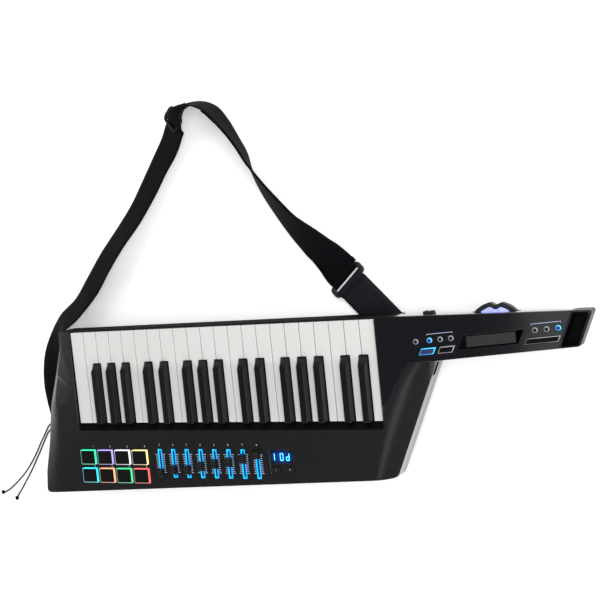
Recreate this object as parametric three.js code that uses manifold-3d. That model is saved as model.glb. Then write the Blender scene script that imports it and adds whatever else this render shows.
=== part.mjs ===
// A shoulder-strap keyboard with a handle neck: 37 full-size keys, lying on its back.
// Millimetres. +X runs along the keys towards the neck, +Y towards the player's edge where the
// key fronts and the strap are, +Z out of the front. The origin is on the flat back.

import * as THREE from 'three';
import Module from 'manifold-3d';
import { mergeVertices } from 'three/addons/utils/BufferGeometryUtils.js';

// Clearances and overruns
const restGap = 0.3; // between pieces that rest on each other
const runningGap = 0.5; // round a piece that moves in an opening
const cutOverrun = 5; // how far a cutting solid runs past the face it cuts

// Keyboard
const whiteKeyCount = 22;
const whiteKeyPitch = 23.6;
const keyGap = 1; // between neighbouring keys
const keyFrontReach = 125; // key fronts from the origin
const whiteKeyLength = 143;
const whiteKeyTop = 56; // above the back
const whiteKeyDepth = 15;
const keyWall = 1.8;
const blackKeyLength = 93;
const blackKeyBaseWidth = 13.6;
const blackKeyTopWidth = 10.6;
const blackKeySkirtWidth = 12.4;
const blackKeyRise = 10.4; // above the white keys
const blackKeyFrontSlope = 12;
const keyArmWidth = 8;
const keyArmDepth = 7.5;
const keyArmBottom = 36; // above the back
const keyArmOverlap = 20; // how far the arm runs forward under the key
const pivotReach = 44; // from the back of the visible keys to the pivot edge
const keyTail = 6; // arm behind the pivot edge
const pivotNotchDepth = 2;
const pivotNotchWidth = 7;
const pivotRidgeWidth = 4; // of the ridge where it enters the notch
const keyTravel = 10.2; // of a white key's front edge
// The shift of each black key from the joint between its white neighbours, counted towards the
// higher notes, for the notes C, D, F, G and A of an octave
const whiteKeysPerOctave = 7;
const blackKeyShiftShares = { 0: -0.1, 1: 0.1, 3: -0.143, 4: 0, 5: 0.143 };

// Body outline, seen from the front
const frontFace = 60; // above the back
const wall = 3;
const panelThickness = 3;
const keySideGap = 1.2; // from the end keys to the housing
const leftCheekWidth = 20.2;
const keyslipThickness = 1.6;
const keyslipDrop = 6; // below the front face
const cheekWall = 2; // beside the end keys
const cheekWallDrop = 7; // below the panel
const bodyEdgeLeft = 257.8; // length of the left end, front edge to rear corner
const leftEdgeLean = 60; // how far the left rear corner lies further out
const rearEdge = 609; // from the left rear corner to the right one, along the keys
const rightRearRise = 29; // the right rear corner lies this much nearer the player
const rightEdgeLength = 165.4; // the right end, rear corner to the neck's underside
const rightEdgeLean = 75;
const neckRootLean = 53; // the deep body's end leans back by this much under the neck
const rearCornerRadius = 9;
const rightCornerRadius = 5;
// The left end's gentle double curve: shares of its lean and of its length
const leftEdgeShares = [[0, 0], [0.02, 0.09], [0.25, 0.26], [0.53, 0.45], [0.71, 0.67], [0.93, 0.87]];
const sideSlopeWidth = 35.6; // the rounded fall of the front face to the right end, at its widest
const sideSlopeDrop = 17;
const slopePower = 2.2; // of both ends' rounded falls
const slopeSteps = 6;
// Along the right end from its rear corner: shares of its length and of the slope's full width
const sideSlopeShares = [
  [-0.2, 0.74], [0, 0.79], [0.26, 0.93], [0.52, 1], [0.7, 0.94], [0.82, 0.83], [0.91, 0.66], [1.03, 0.4],
];
const leftSlopeWidth = 31; // the left end's fall, at the rear corner
const leftSlopeDrop = 4;
// Its width at the points of the left end's curve and at the rear corner, as shares of the widest
const leftSlopeShares = [0.39, 0.42, 0.48, 0.61, 0.87, 0.97, 1];
// The facet beside the keys falls from a slanted crease, given by its two ends: how far each lies
// outside the key opening and behind the front edge
const creaseEnds = [[5.2, 101.6], [40.9, 128.3]];
const facetDrop = 3.6; // at the front corner
const facetReach = 110;

// Back shell
const splitHeight = 26; // where the front and back shells meet
const undercutHeight = 15; // of the sloped foot all round the back
const undercutInset = 14;
const batteryDoorLength = 150;
const batteryDoorWidth = 70;
const batteryDoorDepth = 1.6;
const batteryDoorRadius = 8;
const batteryDoorShift = 120; // towards the left end
const pillarWidth = 8;
const pillarColumns = 5;
const pillarFrontFromKeys = 66; // pillar rows from the key fronts
const pillarBackFromKeys = 188;
const portLength = 20; // the connector recess in the right end
const portWidth = 9;
const portDepth = 8;
const portWall = 2;
const portFromNeck = 15; // its middle from the neck's underside
const portMiddle = 36; // above the back

// Ledge behind the keys
const ledgeLength = 11;
const ledgeDrop = 8.5;
const ledgeLip = 2.5;

// Key bed
const keybedPlateBottom = 20;
const keybedPlate = 3;
const keybedEndMargin = 3;
const stopRailLength = 13;
const stopRailFromFront = 4;
const guidePostWidth = 5;
const guidePostLength = 6;
const guidePostEntry = 2.5; // how far a post reaches into its key at rest
const whiteGuideFromFront = 20;
const blackGuideFromFront = 16;

// Circuit board under the controls
const boardBottom = 48.5;
const boardThickness = 1.6;
const boardMargin = 5;
const boardLength = 390;
const boardWidth = 70;
const boardPostRadius = 3;
const boardPostSides = 8;

// Drum pads
const padColumns = 4;
const padRows = 2;
const padWidth = 27.4;
const padHeight = 23;
const padPitchX = 32.2;
const padPitchY = 28.8;
const padRise = 3.4;
const padTopInset = 1.2;
const padMatThickness = 1.8;
const padMatMargin = 3;
const padTravel = 1.2;
const padsFromKeysLeft = 1.7; // pads' left side to the left of the keyboard's left end
const padsFromKeysBack = 41.4; // pads' near side from the back of the keys

// Faders
const faderPitch = 24.2;
const faderTravel = 30;
const faderCapWidth = 10;
const faderCapLength = 15;
const faderCapHeight = 9;
const faderCapTopShare = 0.7;
const faderGrooveWidth = 1.6;
const faderGrooveDepth = 1.2;
const faderStemWidth = 1.8;
const faderStemLength = 4;
const faderSlotWidth = 3;
const firstFaderPlace = -114.1; // along the keys
const faderMiddleBehindKeys = 62; // middle of the slots from the back of the keys
// Where each fader stands in the photograph, as a share of its travel
const faderShares = [0, 0.19, 0.19, 0.375, 0.495, 0.59, 0.76, 1];

// Display and its two buttons
const displayLength = 40;
const displayWidth = 37;
const displayPlace = 95.2; // its middle along the keys
const displayBehindKeys = 58.8; // its middle from the back of the keys
const displayRecess = 0.8;
const displayButtonLength = 14.4;
const displayButtonWidth = 8.6;
const displayButtonPitch = 23.2;
const displayButtonBehind = 11.2; // behind the display's middle
const buttonRise = 1.2; // of every button above its panel
const buttonTravel = 0.8;
const buttonMat = 1.6;
const buttonMatMargin = 2;

// Neck
const neckBack = 22; // above the back
const neckEdgeDrop = 3; // the neck's front edge falls away by this much
const neckEndHeight = 47;
const neckEndLean = 20.6;
const neckRootBehind = 63.4; // the neck's underside below the front edge at its root
const neckRootOverlap = 10; // how far the neck's floor runs into the body
const neckEndWall = 1; // between the neck's inside and its end cover
const neckUndercutInset = 9;
const neckUndercutHeight = 10;
const neckBackCornerRadius = 3; // of its outer end
const neckFrontCornerRadius = 6;
const neckCoverLength = 27.9; // along the front edge, beyond the glossy panel
const neckPanelGap = 0.9; // from the key opening to the panel
const neckPanelEndLean = 21;
const neckPanelCheekReach = 124; // the panel's point beside the keys, from the front edge
// The panel's edge across the body: shares of its run to the neck's underside and of its depth
const neckPanelEdgeShares = [[0.045, 1], [0.48, 0.56], [0.58, 0.52]];
const endCapSideWall = 2.6;
const endCapEndWall = 3;
const endCapPanelWall = 2;
const endCapFloor = 38; // above the back
const endCapTaperTop = 40; // the end wall leans inwards below this
const endCapTaper = 10; // at the neck's back

// Controls on the neck, in one chain from the keys to the slanted end of the glossy panel. What
// lies behind the front edge is measured from it.
const neckRise = 0.06; // slope of the neck's rows of controls
const roundButtonRadius = 3.6;
const roundButtonSides = 12;
const leftButtonsFromKeys = 59.8; // to the first button
const leftButtonStep = 20.1; // from the first to the second
const leftButtonPitch = 15.5; // between the others
const leftButtonsBehind = 34.7;
const modeButtonLength = 21;
const modeButtonWidth = 9.2;
const modeButtonLean = 4.6;
const modeButtonPitch = 27.4;
const modeButtonShift = 9.2; // middle of the two beyond the second round button
const modeButtonsBehind = 48.8;
const ribbonLength = 70;
const ribbonWidth = 15.6;
const ribbonRise = 4; // above the recess floor
const recessDepth = 5.6;
const recessFloor = 2;
const recessWall = 2;
const recessLean = 9;
const recessEndRoom = 7; // beyond each end of the ribbon
const recessSideRoom = 1.4;
const recessFromButtons = 13.3;
const recessBehind = 36.6;
const barButtonLength = 45;
const barButtonWidth = 7.4;
const barButtonLean = 4.2;
const barFromRecess = 6.1;
const barButtonBehind = 39.8;
const rightButtonPitch = 15.6;
const rightButtonShift = 6.6; // the middle one beyond the bar's middle
const rightButtonsBehind = 25.6;
const panelBeyondBar = 18.6; // from the bar to the panel's front outer corner
const keypadBottom = 48.4; // above the back
const keypadWeb = 2;
const keypadMargin = 6.4; // beyond the outermost round buttons
const keypadShift = 5.2; // towards the keys
const keypadWidth = 31;
const keypadLean = 14;
const keypadBehind = 37.3;

// Pitch wheel
const wheelRadius = 39.5; // of the lobed part
const wheelHubRadius = 25; // of the rest
const wheelLobedTurn = 88; // degrees, to each side of the notch
const wheelShift = 4; // beyond the ribbon's middle
const wheelProud = 13.2; // beyond the neck's front edge
const wheelThickness = 10;
const wheelMiddle = 40; // above the back
const wheelNotchDepth = 4.2;
const wheelNotchWidth = 19;
const wheelNotchShift = 1.6;
const wheelSteps = 72;
const wheelSlotGap = 1.5; // beside the wheel in the neck's wall
const axleRadius = 3;
const axleSides = 12;
const axleGap = 0.3;
const axleShoulder = 2;
const axleEnd = 1.2; // the axle stands this much out of the wheel

// Octave rocker
const rockerLength = 16.2;
const rockerProud = 4.6;
const rockerDip = 1.4;
const rockerThickness = 8;
const rockerMiddle = 40; // above the back
const rockerHubWidth = 9;
const rockerCapDepth = 2.5; // of its wide part, behind the neck's front edge
const rockerHubDepth = 8;
const rockerPivotDepth = 5;
const rockerPinRadius = 1.5;
const rockerShoulder = 1.5;
const rockerPinSides = 8;
const rockerSlotGap = 1.2;
const rockerSteps = 10;

// Strap, tab and slider
const webbingWidth = 50;
const webbingThickness = 1.8;
const webbingLift = 0.3;
const tabThickness = 2.2;
const tabLift = 2.2;
const tabWidth = 49;
const tabBeyondPin = 11;
const tabHoleGap = 0.6;
const tabTurn = 132.3; // degrees from +X, from the pin to the slider
const tabLength = 90.6; // from the pin to the slider's middle
const sliderWidth = 62;
const sliderLength = 19;
const sliderHeight = 5;
const sliderBar = 4;
const strapPinFromKeys = 1.2;
const strapPinFromFront = 17.8;
const strapPinRadius = 4;
const strapPinHead = 6.4;
const strapPinHeadThickness = 1.4;
const strapPinLift = 0.5;
const strapPinSides = 12;
const strapPocketHeight = 8;
const strapPocketMargin = 2.5;
const leftPinReach = 14;
const leftPinHeight = 17; // above the back
const leftPinBehind = 134; // along the left end, from the front edge
const leftPinRoot = 4;

// Laces
const laceDiameter = 2.3;
const laceSides = 8;
const laceSteps = 34;
const knotRadius = 2.4;
const knotSides = 8;
const knotRings = 6;

// The webbing's lower edge from the neck's strap pin, as shares of the distance to the body's left
// end and of the loop's height above the pin, each with its roll from flat in degrees
const webbingShares = [
  [-1.142, -0.381, 0], [-1.151, -0.299, 0], [-1.155, -0.217, 0], [-1.149, -0.129, 4],
  [-1.133, -0.047, 12], [-1.103, 0.035, 24], [-1.062, 0.115, 43], [-1.002, 0.185, 41],
  [-0.95, 0.281, 33], [-0.894, 0.387, 34], [-0.83, 0.491, 37], [-0.77, 0.594, 34], [-0.721, 0.7, 30],
  [-0.679, 0.794, 29], [-0.644, 0.873, 26], [-0.621, 0.939, 26], [-0.595, 0.988, 33],
  [-0.553, 1.014, 57], [-0.5, 1.014, 81], [-0.456, 0.984, 86], [-0.425, 0.922, 92], [-0.4, 0.847, 100],
  [-0.377, 0.771, 105], [-0.365, 0.686, 116], [-0.342, 0.597, 124], [-0.31, 0.508, 131],
  [-0.273, 0.416, 139], [-0.233, 0.33, 155], [-0.197, 0.254, 170],
];
const webbingLoopHeight = 341;
const webbingRun = 11.75; // its last straight run, into the slider
const webbingEndGap = 1; // to the slider
// The free laces, from the strap's end to their knots
const frontLaceRoute = [
  [-353, -19.5, 1.4], [-352.8, -23, 1.3], [-355.4, -27, 1.3], [-361, -29.6, 1.3], [-367, -33.6, 1.3],
  [-373, -42, 1.3], [-388, -63, 1.3], [-403, -85, 1.3], [-418, -103, 1.3], [-433, -118, 1.3],
  [-452, -133, 1.3], [-467, -143, 1.3], [-478, -146.5, 2.5],
];
const backLaceRoute = [
  [-345, -18.1, 1.4], [-344.4, -22, 1.3], [-346.4, -28.4, 1.3], [-352.6, -34, 1.3], [-361, -38, 1.3],
  [-369, -44, 1.3], [-376, -53.5, 1.3], [-384, -66, 1.3], [-398, -87, 1.3], [-412, -107, 1.3],
  [-426, -125, 1.3], [-438, -140, 1.3], [-445, -148, 1.3], [-450, -156, 2.5],
];

// Sizes that follow from those above
const keyboardLength = whiteKeyCount * whiteKeyPitch;
const keyboardHalf = keyboardLength / 2;
const keyBack = keyFrontReach - whiteKeyLength;
const keyBottom = whiteKeyTop - whiteKeyDepth;
const blackKeyFront = keyBack + blackKeyLength;
const blackKeyTop = whiteKeyTop + blackKeyRise;
const pivotPlace = keyBack - pivotReach;
const frontEdge = keyFrontReach + keySideGap + keyslipThickness;
const bodyLeft = -keyboardHalf - keySideGap - leftCheekWidth;
const panelBottom = frontFace - panelThickness;
const cheekLine = keyboardHalf + keySideGap;

// Places along the neck
const leftButtonSteps = [0, ...[0, 1, 2].map((step) => leftButtonStep + step * leftButtonPitch)];
const leftButtonPlaces = leftButtonSteps.map((step) => cheekLine + leftButtonsFromKeys + step);
const modeMiddle = leftButtonPlaces[1] + modeButtonShift;
const modeButtonPlaces = [-0.5, 0.5].map((side) => modeMiddle + side * modeButtonPitch);
const recessLength = ribbonLength + 2 * recessEndRoom;
const recessWidth = ribbonWidth + 2 * recessSideRoom;
const recessStart = leftButtonPlaces[leftButtonPlaces.length - 1] + recessFromButtons;
const recessPlace = recessStart + recessLength / 2;
const barButtonStart = recessStart + recessLength + barFromRecess;
const barButtonPlace = barButtonStart + barButtonLength / 2;
const rightButtonMiddle = barButtonPlace + rightButtonShift;
const rightButtonPlaces = [-1, 0, 1].map((step) => rightButtonMiddle + step * rightButtonPitch);
const wheelPlace = recessPlace + wheelShift;
const rockerPlace = modeButtonPlaces[0];
const strapPinPlace = cheekLine + strapPinFromKeys;
const panelEndReach = barButtonStart + barButtonLength + panelBeyondBar;
const neckEndReach = panelEndReach + neckCoverLength;

const wasm = await Module();
wasm.setup();

// Solids

// A closed geometry as a solid that can be joined and cut
function solidOf(geometry) {
  const bare = geometry.clone();
  bare.deleteAttribute('normal');
  bare.deleteAttribute('uv');
  const merged = mergeVertices(bare, 1e-4);
  const mesh = new wasm.Mesh({
    numProp: 3,
    vertProperties: new Float32Array(merged.attributes.position.array),
    triVerts: new Uint32Array(merged.index.array),
  });
  return new wasm.Manifold(mesh);
}

// A solid as geometry again
function geometryOf(solid) {
  const mesh = solid.getMesh();
  const geometry = new THREE.BufferGeometry();
  geometry.setAttribute('position', new THREE.BufferAttribute(mesh.vertProperties, 3));
  geometry.setIndex(new THREE.BufferAttribute(mesh.triVerts, 1));
  geometry.computeVertexNormals();
  return geometry;
}

function join(...solids) {
  return solids.reduce((sum, next) => sum.add(next));
}

function cut(solid, ...tools) {
  return tools.reduce((rest, tool) => rest.subtract(tool), solid);
}

// A block between two corners
function block(x0, x1, y0, y1, z0, z1) {
  const geometry = new THREE.BoxGeometry(x1 - x0, y1 - y0, z1 - z0);
  geometry.translate((x0 + x1) / 2, (y0 + y1) / 2, (z0 + z1) / 2);
  return solidOf(geometry);
}

// An outline in plan, raised from z0 to z1
function prism(points, z0, z1) {
  const shape = new THREE.Shape(points.map(([x, y]) => new THREE.Vector2(x, y)));
  const geometry = new THREE.ExtrudeGeometry(shape, { depth: z1 - z0, bevelEnabled: false });
  geometry.translate(0, 0, z0);
  return solidOf(geometry);
}

// A side outline in Y and Z, running along X from x0 to x1
function sidePrism(points, x0, x1) {
  const shape = new THREE.Shape(points.map(([y, z]) => new THREE.Vector2(y, z)));
  const geometry = new THREE.ExtrudeGeometry(shape, { depth: x1 - x0, bevelEnabled: false });
  const turn = new THREE.Matrix4().makeBasis(
    new THREE.Vector3(0, 1, 0),
    new THREE.Vector3(0, 0, 1),
    new THREE.Vector3(1, 0, 0),
  );
  geometry.applyMatrix4(turn);
  geometry.translate(x0, 0, 0);
  return solidOf(geometry);
}

// An upright round rod
function rod(x, y, z0, z1, radius, sides) {
  const geometry = new THREE.CylinderGeometry(radius, radius, z1 - z0, sides);
  geometry.rotateX(Math.PI / 2);
  geometry.translate(x, y, (z0 + z1) / 2);
  return solidOf(geometry);
}

// A closed skin over rings of the same number of points, flat caps at both ends
function loft(rings, capPoints) {
  const count = rings[0].length;
  const positions = rings.flat(2);
  const index = [];
  for (let ring = 0; ring + 1 < rings.length; ring += 1) {
    for (let k = 0; k < count; k += 1) {
      const next = (k + 1) % count;
      const a = ring * count + k;
      const b = ring * count + next;
      index.push(a, b, b + count);
      index.push(a, b + count, a + count);
    }
  }
  const outline = capPoints.map(([x, y]) => new THREE.Vector2(x, y));
  const last = (rings.length - 1) * count;
  for (const [a, b, c] of THREE.ShapeUtils.triangulateShape(outline, [])) {
    index.push(c, b, a);
    index.push(last + a, last + b, last + c);
  }
  const geometry = new THREE.BufferGeometry();
  geometry.setAttribute('position', new THREE.Float32BufferAttribute(positions, 3));
  geometry.setIndex(index);
  return solidOf(geometry);
}

// Rings at different heights joined into one upright solid
function stack(outlines, heights) {
  const rings = outlines.map((outline, k) => outline.map(([x, y]) => [x, y, heights[k]]));
  return loft(rings, outlines[0]);
}

// Outlines

// The outline moved inwards by a distance; it runs anticlockwise
function inset(points, distance) {
  const count = points.length;
  return points.map(([x, y], k) => {
    const [px, py] = points[(k + count - 1) % count];
    const [nx, ny] = points[(k + 1) % count];
    const inLength = Math.hypot(x - px, y - py);
    const outLength = Math.hypot(nx - x, ny - y);
    const ax = -(y - py) / inLength;
    const ay = (x - px) / inLength;
    const bx = -(ny - y) / outLength;
    const by = (nx - x) / outLength;
    const scale = distance / (1 + ax * bx + ay * by);
    return [x + (ax + bx) * scale, y + (ay + by) * scale];
  });
}

// The outline with each corner of a radius turned into a short curve
function rounded(points, radii, steps) {
  const count = points.length;
  return points.flatMap(([x, y], k) => {
    const radius = radii[k];
    if (!radius) {
      return [[x, y]];
    }
    const corner = new THREE.Vector2(x, y);
    const before = new THREE.Vector2(...points[(k + count - 1) % count]);
    const after = new THREE.Vector2(...points[(k + 1) % count]);
    const start = before.sub(corner).setLength(radius).add(corner);
    const end = after.sub(corner).setLength(radius).add(corner);
    const curve = new THREE.QuadraticBezierCurve(start, corner, end);
    return curve.getPoints(steps).map((point) => [point.x, point.y]);
  });
}

function mirroredRect(x, y, halfX, halfY) {
  return [[x - halfX, y - halfY], [x + halfX, y - halfY], [x + halfX, y + halfY], [x - halfX, y + halfY]];
}

// A slanted four-sided outline round a middle point: its upper side lies further right by the
// lean, and its right end higher by the rise
function slanted(x, y, length, width, lean, rise) {
  const halfX = length / 2;
  const halfY = width / 2;
  const slide = lean / 2;
  const lift = rise / 2;
  return [
    [x - halfX - slide, y - halfY - lift],
    [x + halfX - slide, y - halfY + lift],
    [x + halfX + slide, y + halfY + lift],
    [x - halfX + slide, y + halfY - lift],
  ];
}

const roundSteps = 3;
const leftRearCorner = [bodyLeft - leftEdgeLean, frontEdge - bodyEdgeLeft];
const rightRearCorner = [leftRearCorner[0] + rearEdge, leftRearCorner[1] + rightRearRise];
const neckCorner = [rightRearCorner[0] + rightEdgeLean, rightRearCorner[1] + rightEdgeLength];
const bodyEndFront = [neckCorner[0] - neckRootLean, frontEdge];
const neckEndFront = [neckEndReach, frontEdge - neckEdgeDrop];
const neckEndBack = [neckEndReach - neckEndLean, frontEdge - neckEdgeDrop - neckEndHeight];

const leftEdgePoints = leftEdgeShares.map(([lean, length]) => [
  bodyLeft - leftEdgeLean * lean,
  frontEdge - bodyEdgeLeft * length,
]);

// The deep body, moved inwards by a distance
function bodyOutline(distance) {
  const corners = [...leftEdgePoints, leftRearCorner, rightRearCorner, neckCorner, bodyEndFront];
  const radii = corners.map(() => 0);
  radii[leftEdgePoints.length] = rearCornerRadius;
  radii[leftEdgePoints.length + 1] = rightCornerRadius;
  return rounded(inset(corners, distance), radii, roundSteps);
}

// The neck, from inside the body to its outer end
function neckOutline(distance) {
  const corners = [
    [bodyEndFront[0] - neckRootOverlap, frontEdge],
    [bodyEndFront[0] - neckRootOverlap, frontEdge - neckRootBehind],
    [neckCorner[0], frontEdge - neckRootBehind],
    neckEndBack,
    neckEndFront,
  ];
  return rounded(inset(corners, distance), [0, 0, 0, neckBackCornerRadius, neckFrontCornerRadius], roundSteps);
}

const panelEndFront = [panelEndReach, frontEdge - neckEdgeDrop];
const panelLowerSlope = (neckEndBack[1] - neckCorner[1]) / (neckEndBack[0] - neckCorner[0]);
const panelEndBackX = panelEndFront[0] - neckPanelEndLean;
const panelEndBack = [panelEndBackX, neckCorner[1] + (panelEndBackX - neckCorner[0]) * panelLowerSlope];

// The glossy panel: a point beside the keys, across the body and out along the neck
function neckPanelOutline(distance) {
  const start = cheekLine + neckPanelGap;
  const run = neckCorner[0] - start;
  const edge = neckPanelEdgeShares.map(([along, depth]) => [
    start + run * along,
    frontEdge - neckPanelCheekReach * depth,
  ]);
  const corners = [[start, frontEdge], [start, frontEdge - neckPanelCheekReach], ...edge];
  corners.push(neckCorner, panelEndBack, panelEndFront);
  return inset(corners, distance);
}

// Everything beyond the slanted end of the glossy panel
function beyondPanel(gap) {
  const lean = neckPanelEndLean / (panelEndFront[1] - panelEndBack[1]);
  const far = neckEndReach + cutOverrun;
  const upper = panelEndFront[1] + cutOverrun;
  const lower = panelEndBack[1] - cutOverrun;
  const outline = [
    [panelEndBack[0] - cutOverrun * lean + gap, lower],
    [far, lower],
    [far, upper],
    [panelEndFront[0] + cutOverrun * lean + gap, upper],
  ];
  return prism(outline, -cutOverrun, frontFace + cutOverrun);
}

// Key layout, counted from the lowest note at the neck end

// The middle of the black key above a white one, or null where there is none
function blackKeyPlace(white) {
  const note = white % whiteKeysPerOctave;
  if (white < 0 || white + 1 >= whiteKeyCount || !(note in blackKeyShiftShares)) {
    return null;
  }
  const boundary = keyboardHalf - (white + 1) * whiteKeyPitch;
  return boundary - blackKeyShiftShares[note] * whiteKeyPitch;
}

// A white key's sides, at its front and between its black neighbours
function whiteKeySides(white) {
  const right = keyboardHalf - white * whiteKeyPitch - keyGap / 2;
  const left = right - whiteKeyPitch + keyGap;
  const below = blackKeyPlace(white - 1);
  const above = blackKeyPlace(white);
  const clear = blackKeyBaseWidth / 2 + keyGap;
  return {
    left,
    right,
    rearLeft: above === null ? left : above + clear,
    rearRight: below === null ? right : below - clear,
  };
}

function whiteKeyOutline(sides, distance) {
  const shoulder = blackKeyFront + keyGap + distance;
  const front = keyFrontReach - distance;
  const back = keyBack + distance;
  const outline = [[sides.rearLeft + distance, back], [sides.rearRight - distance, back]];
  if (sides.rearRight < sides.right) {
    outline.push([sides.rearRight - distance, shoulder], [sides.right - distance, shoulder]);
  }
  outline.push([sides.right - distance, front], [sides.left + distance, front]);
  if (sides.rearLeft > sides.left) {
    outline.push([sides.left + distance, shoulder], [sides.rearLeft + distance, shoulder]);
  }
  return outline;
}

// The arm under a key, back to the notch that sits on the pivot edge
function keyArm(middle) {
  const top = keyArmBottom + keyArmDepth;
  const notch = pivotNotchWidth / 2;
  const side = [
    [pivotPlace - keyTail, keyArmBottom],
    [pivotPlace - notch, keyArmBottom],
    [pivotPlace, keyArmBottom + pivotNotchDepth],
    [pivotPlace + notch, keyArmBottom],
    [keyBack + keyArmOverlap, keyArmBottom],
    [keyBack + keyArmOverlap, top],
    [pivotPlace - keyTail, top],
  ];
  return sidePrism(side, middle - keyArmWidth / 2, middle + keyArmWidth / 2);
}

function whiteKey(white) {
  const sides = whiteKeySides(white);
  const outer = prism(whiteKeyOutline(sides, 0), keyBottom, whiteKeyTop);
  const hollow = prism(whiteKeyOutline(sides, keyWall), keyBottom - cutOverrun, whiteKeyTop - keyWall);
  return join(cut(outer, hollow), keyArm((sides.rearLeft + sides.rearRight) / 2));
}

function blackKey(middle) {
  const ring = (width, distance, slope) => mirroredRect(
    middle,
    (keyBack + blackKeyFront - slope) / 2,
    width / 2 - distance,
    (blackKeyLength - slope) / 2 - distance,
  );
  const outer = stack(
    [
      ring(blackKeySkirtWidth, 0, 0),
      ring(blackKeyBaseWidth, 0, 0),
      ring(blackKeyTopWidth, 0, blackKeyFrontSlope),
    ],
    [keyBottom, whiteKeyTop, blackKeyTop],
  );
  const hollow = stack(
    [ring(blackKeySkirtWidth, keyWall, 0), ring(blackKeyTopWidth, keyWall, blackKeyFrontSlope)],
    [keyBottom - cutOverrun, blackKeyTop - keyWall],
  );
  return join(cut(outer, hollow), keyArm(middle));
}

// Housing

// The room above a rounded fall of the front face, which starts at places along an end
function aboveFall(starts, run, drop) {
  const inward = new THREE.Vector2(-run.y, run.x).normalize();
  const shares = [];
  for (let k = 0; k <= slopeSteps; k += 1) {
    shares.push(k / slopeSteps);
  }
  const above = frontFace + 2 * cutOverrun;
  const sectionOf = (width) => [
    [-cutOverrun, frontFace - drop],
    ...shares.map((share) => [width * share, frontFace - drop * (1 - share) ** slopePower]),
    [width, above],
    [-cutOverrun, above],
  ];
  const rings = starts.map(([x, y, width]) => sectionOf(width).map(
    ([across, height]) => [x + inward.x * across, y + inward.y * across, height],
  ));
  return loft(rings, sectionOf(starts[0][2]));
}

function aboveRightFall() {
  const run = new THREE.Vector2(rightEdgeLean, rightEdgeLength);
  const starts = sideSlopeShares.map(([along, width]) => [
    rightRearCorner[0] + run.x * along, rightRearCorner[1] + run.y * along, width * sideSlopeWidth,
  ]);
  return aboveFall(starts, run, sideSlopeDrop);
}

function aboveLeftFall() {
  const run = new THREE.Vector2(-leftEdgeLean, -bodyEdgeLeft);
  const over = run.clone().normalize().multiplyScalar(2 * cutOverrun);
  const points = [...leftEdgePoints, leftRearCorner];
  const starts = points.map(([x, y], k) => [x, y, leftSlopeShares[k] * leftSlopeWidth]);
  const [x0, y0, width0] = starts[0];
  const [x1, y1, width1] = starts[starts.length - 1];
  return aboveFall(
    [[x0 - over.x, y0 - over.y, width0], ...starts, [x1 + over.x, y1 + over.y, width1]], run, leftSlopeDrop,
  );
}

// The room above the facet beside the keys
function aboveFacet() {
  const [start, end] = creaseEnds.map(([out, behind]) => (
    new THREE.Vector2(-cheekLine - out, frontEdge - behind)
  ));
  const along = end.clone().sub(start).normalize();
  const away = new THREE.Vector2(along.y, -along.x);
  const corner = new THREE.Vector2(bodyLeft, frontEdge);
  const fall = facetDrop / corner.sub(start).dot(away);
  const above = frontFace + 2 * cutOverrun;
  const section = [
    [0, frontFace], [facetReach, frontFace - fall * facetReach], [facetReach, above], [0, above],
  ];
  const rings = [facetReach, -facetReach].map((place) => section.map(([across, height]) => [
    start.x + along.x * place + away.x * across, start.y + along.y * place + away.y * across, height,
  ]));
  return loft(rings, section);
}

function padMiddle(column, row) {
  const left = -keyboardHalf - padsFromKeysLeft + padWidth / 2;
  const front = keyBack - padsFromKeysBack - padHeight / 2;
  return [left + column * padPitchX, front - row * padPitchY];
}

function eachPad(make) {
  const made = [];
  for (let row = 0; row < padRows; row += 1) {
    for (let column = 0; column < padColumns; column += 1) {
      made.push(make(...padMiddle(column, row)));
    }
  }
  return made;
}

function faderPlace(fader) {
  return firstFaderPlace + fader * faderPitch;
}

const faderMiddle = keyBack - faderMiddleBehindKeys;
const displayMiddle = keyBack - displayBehindKeys;
const displayButtonLine = displayMiddle - displayButtonBehind;
const displayButtonXs = [-0.5, 0.5].map((side) => displayPlace + side * displayButtonPitch);

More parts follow.
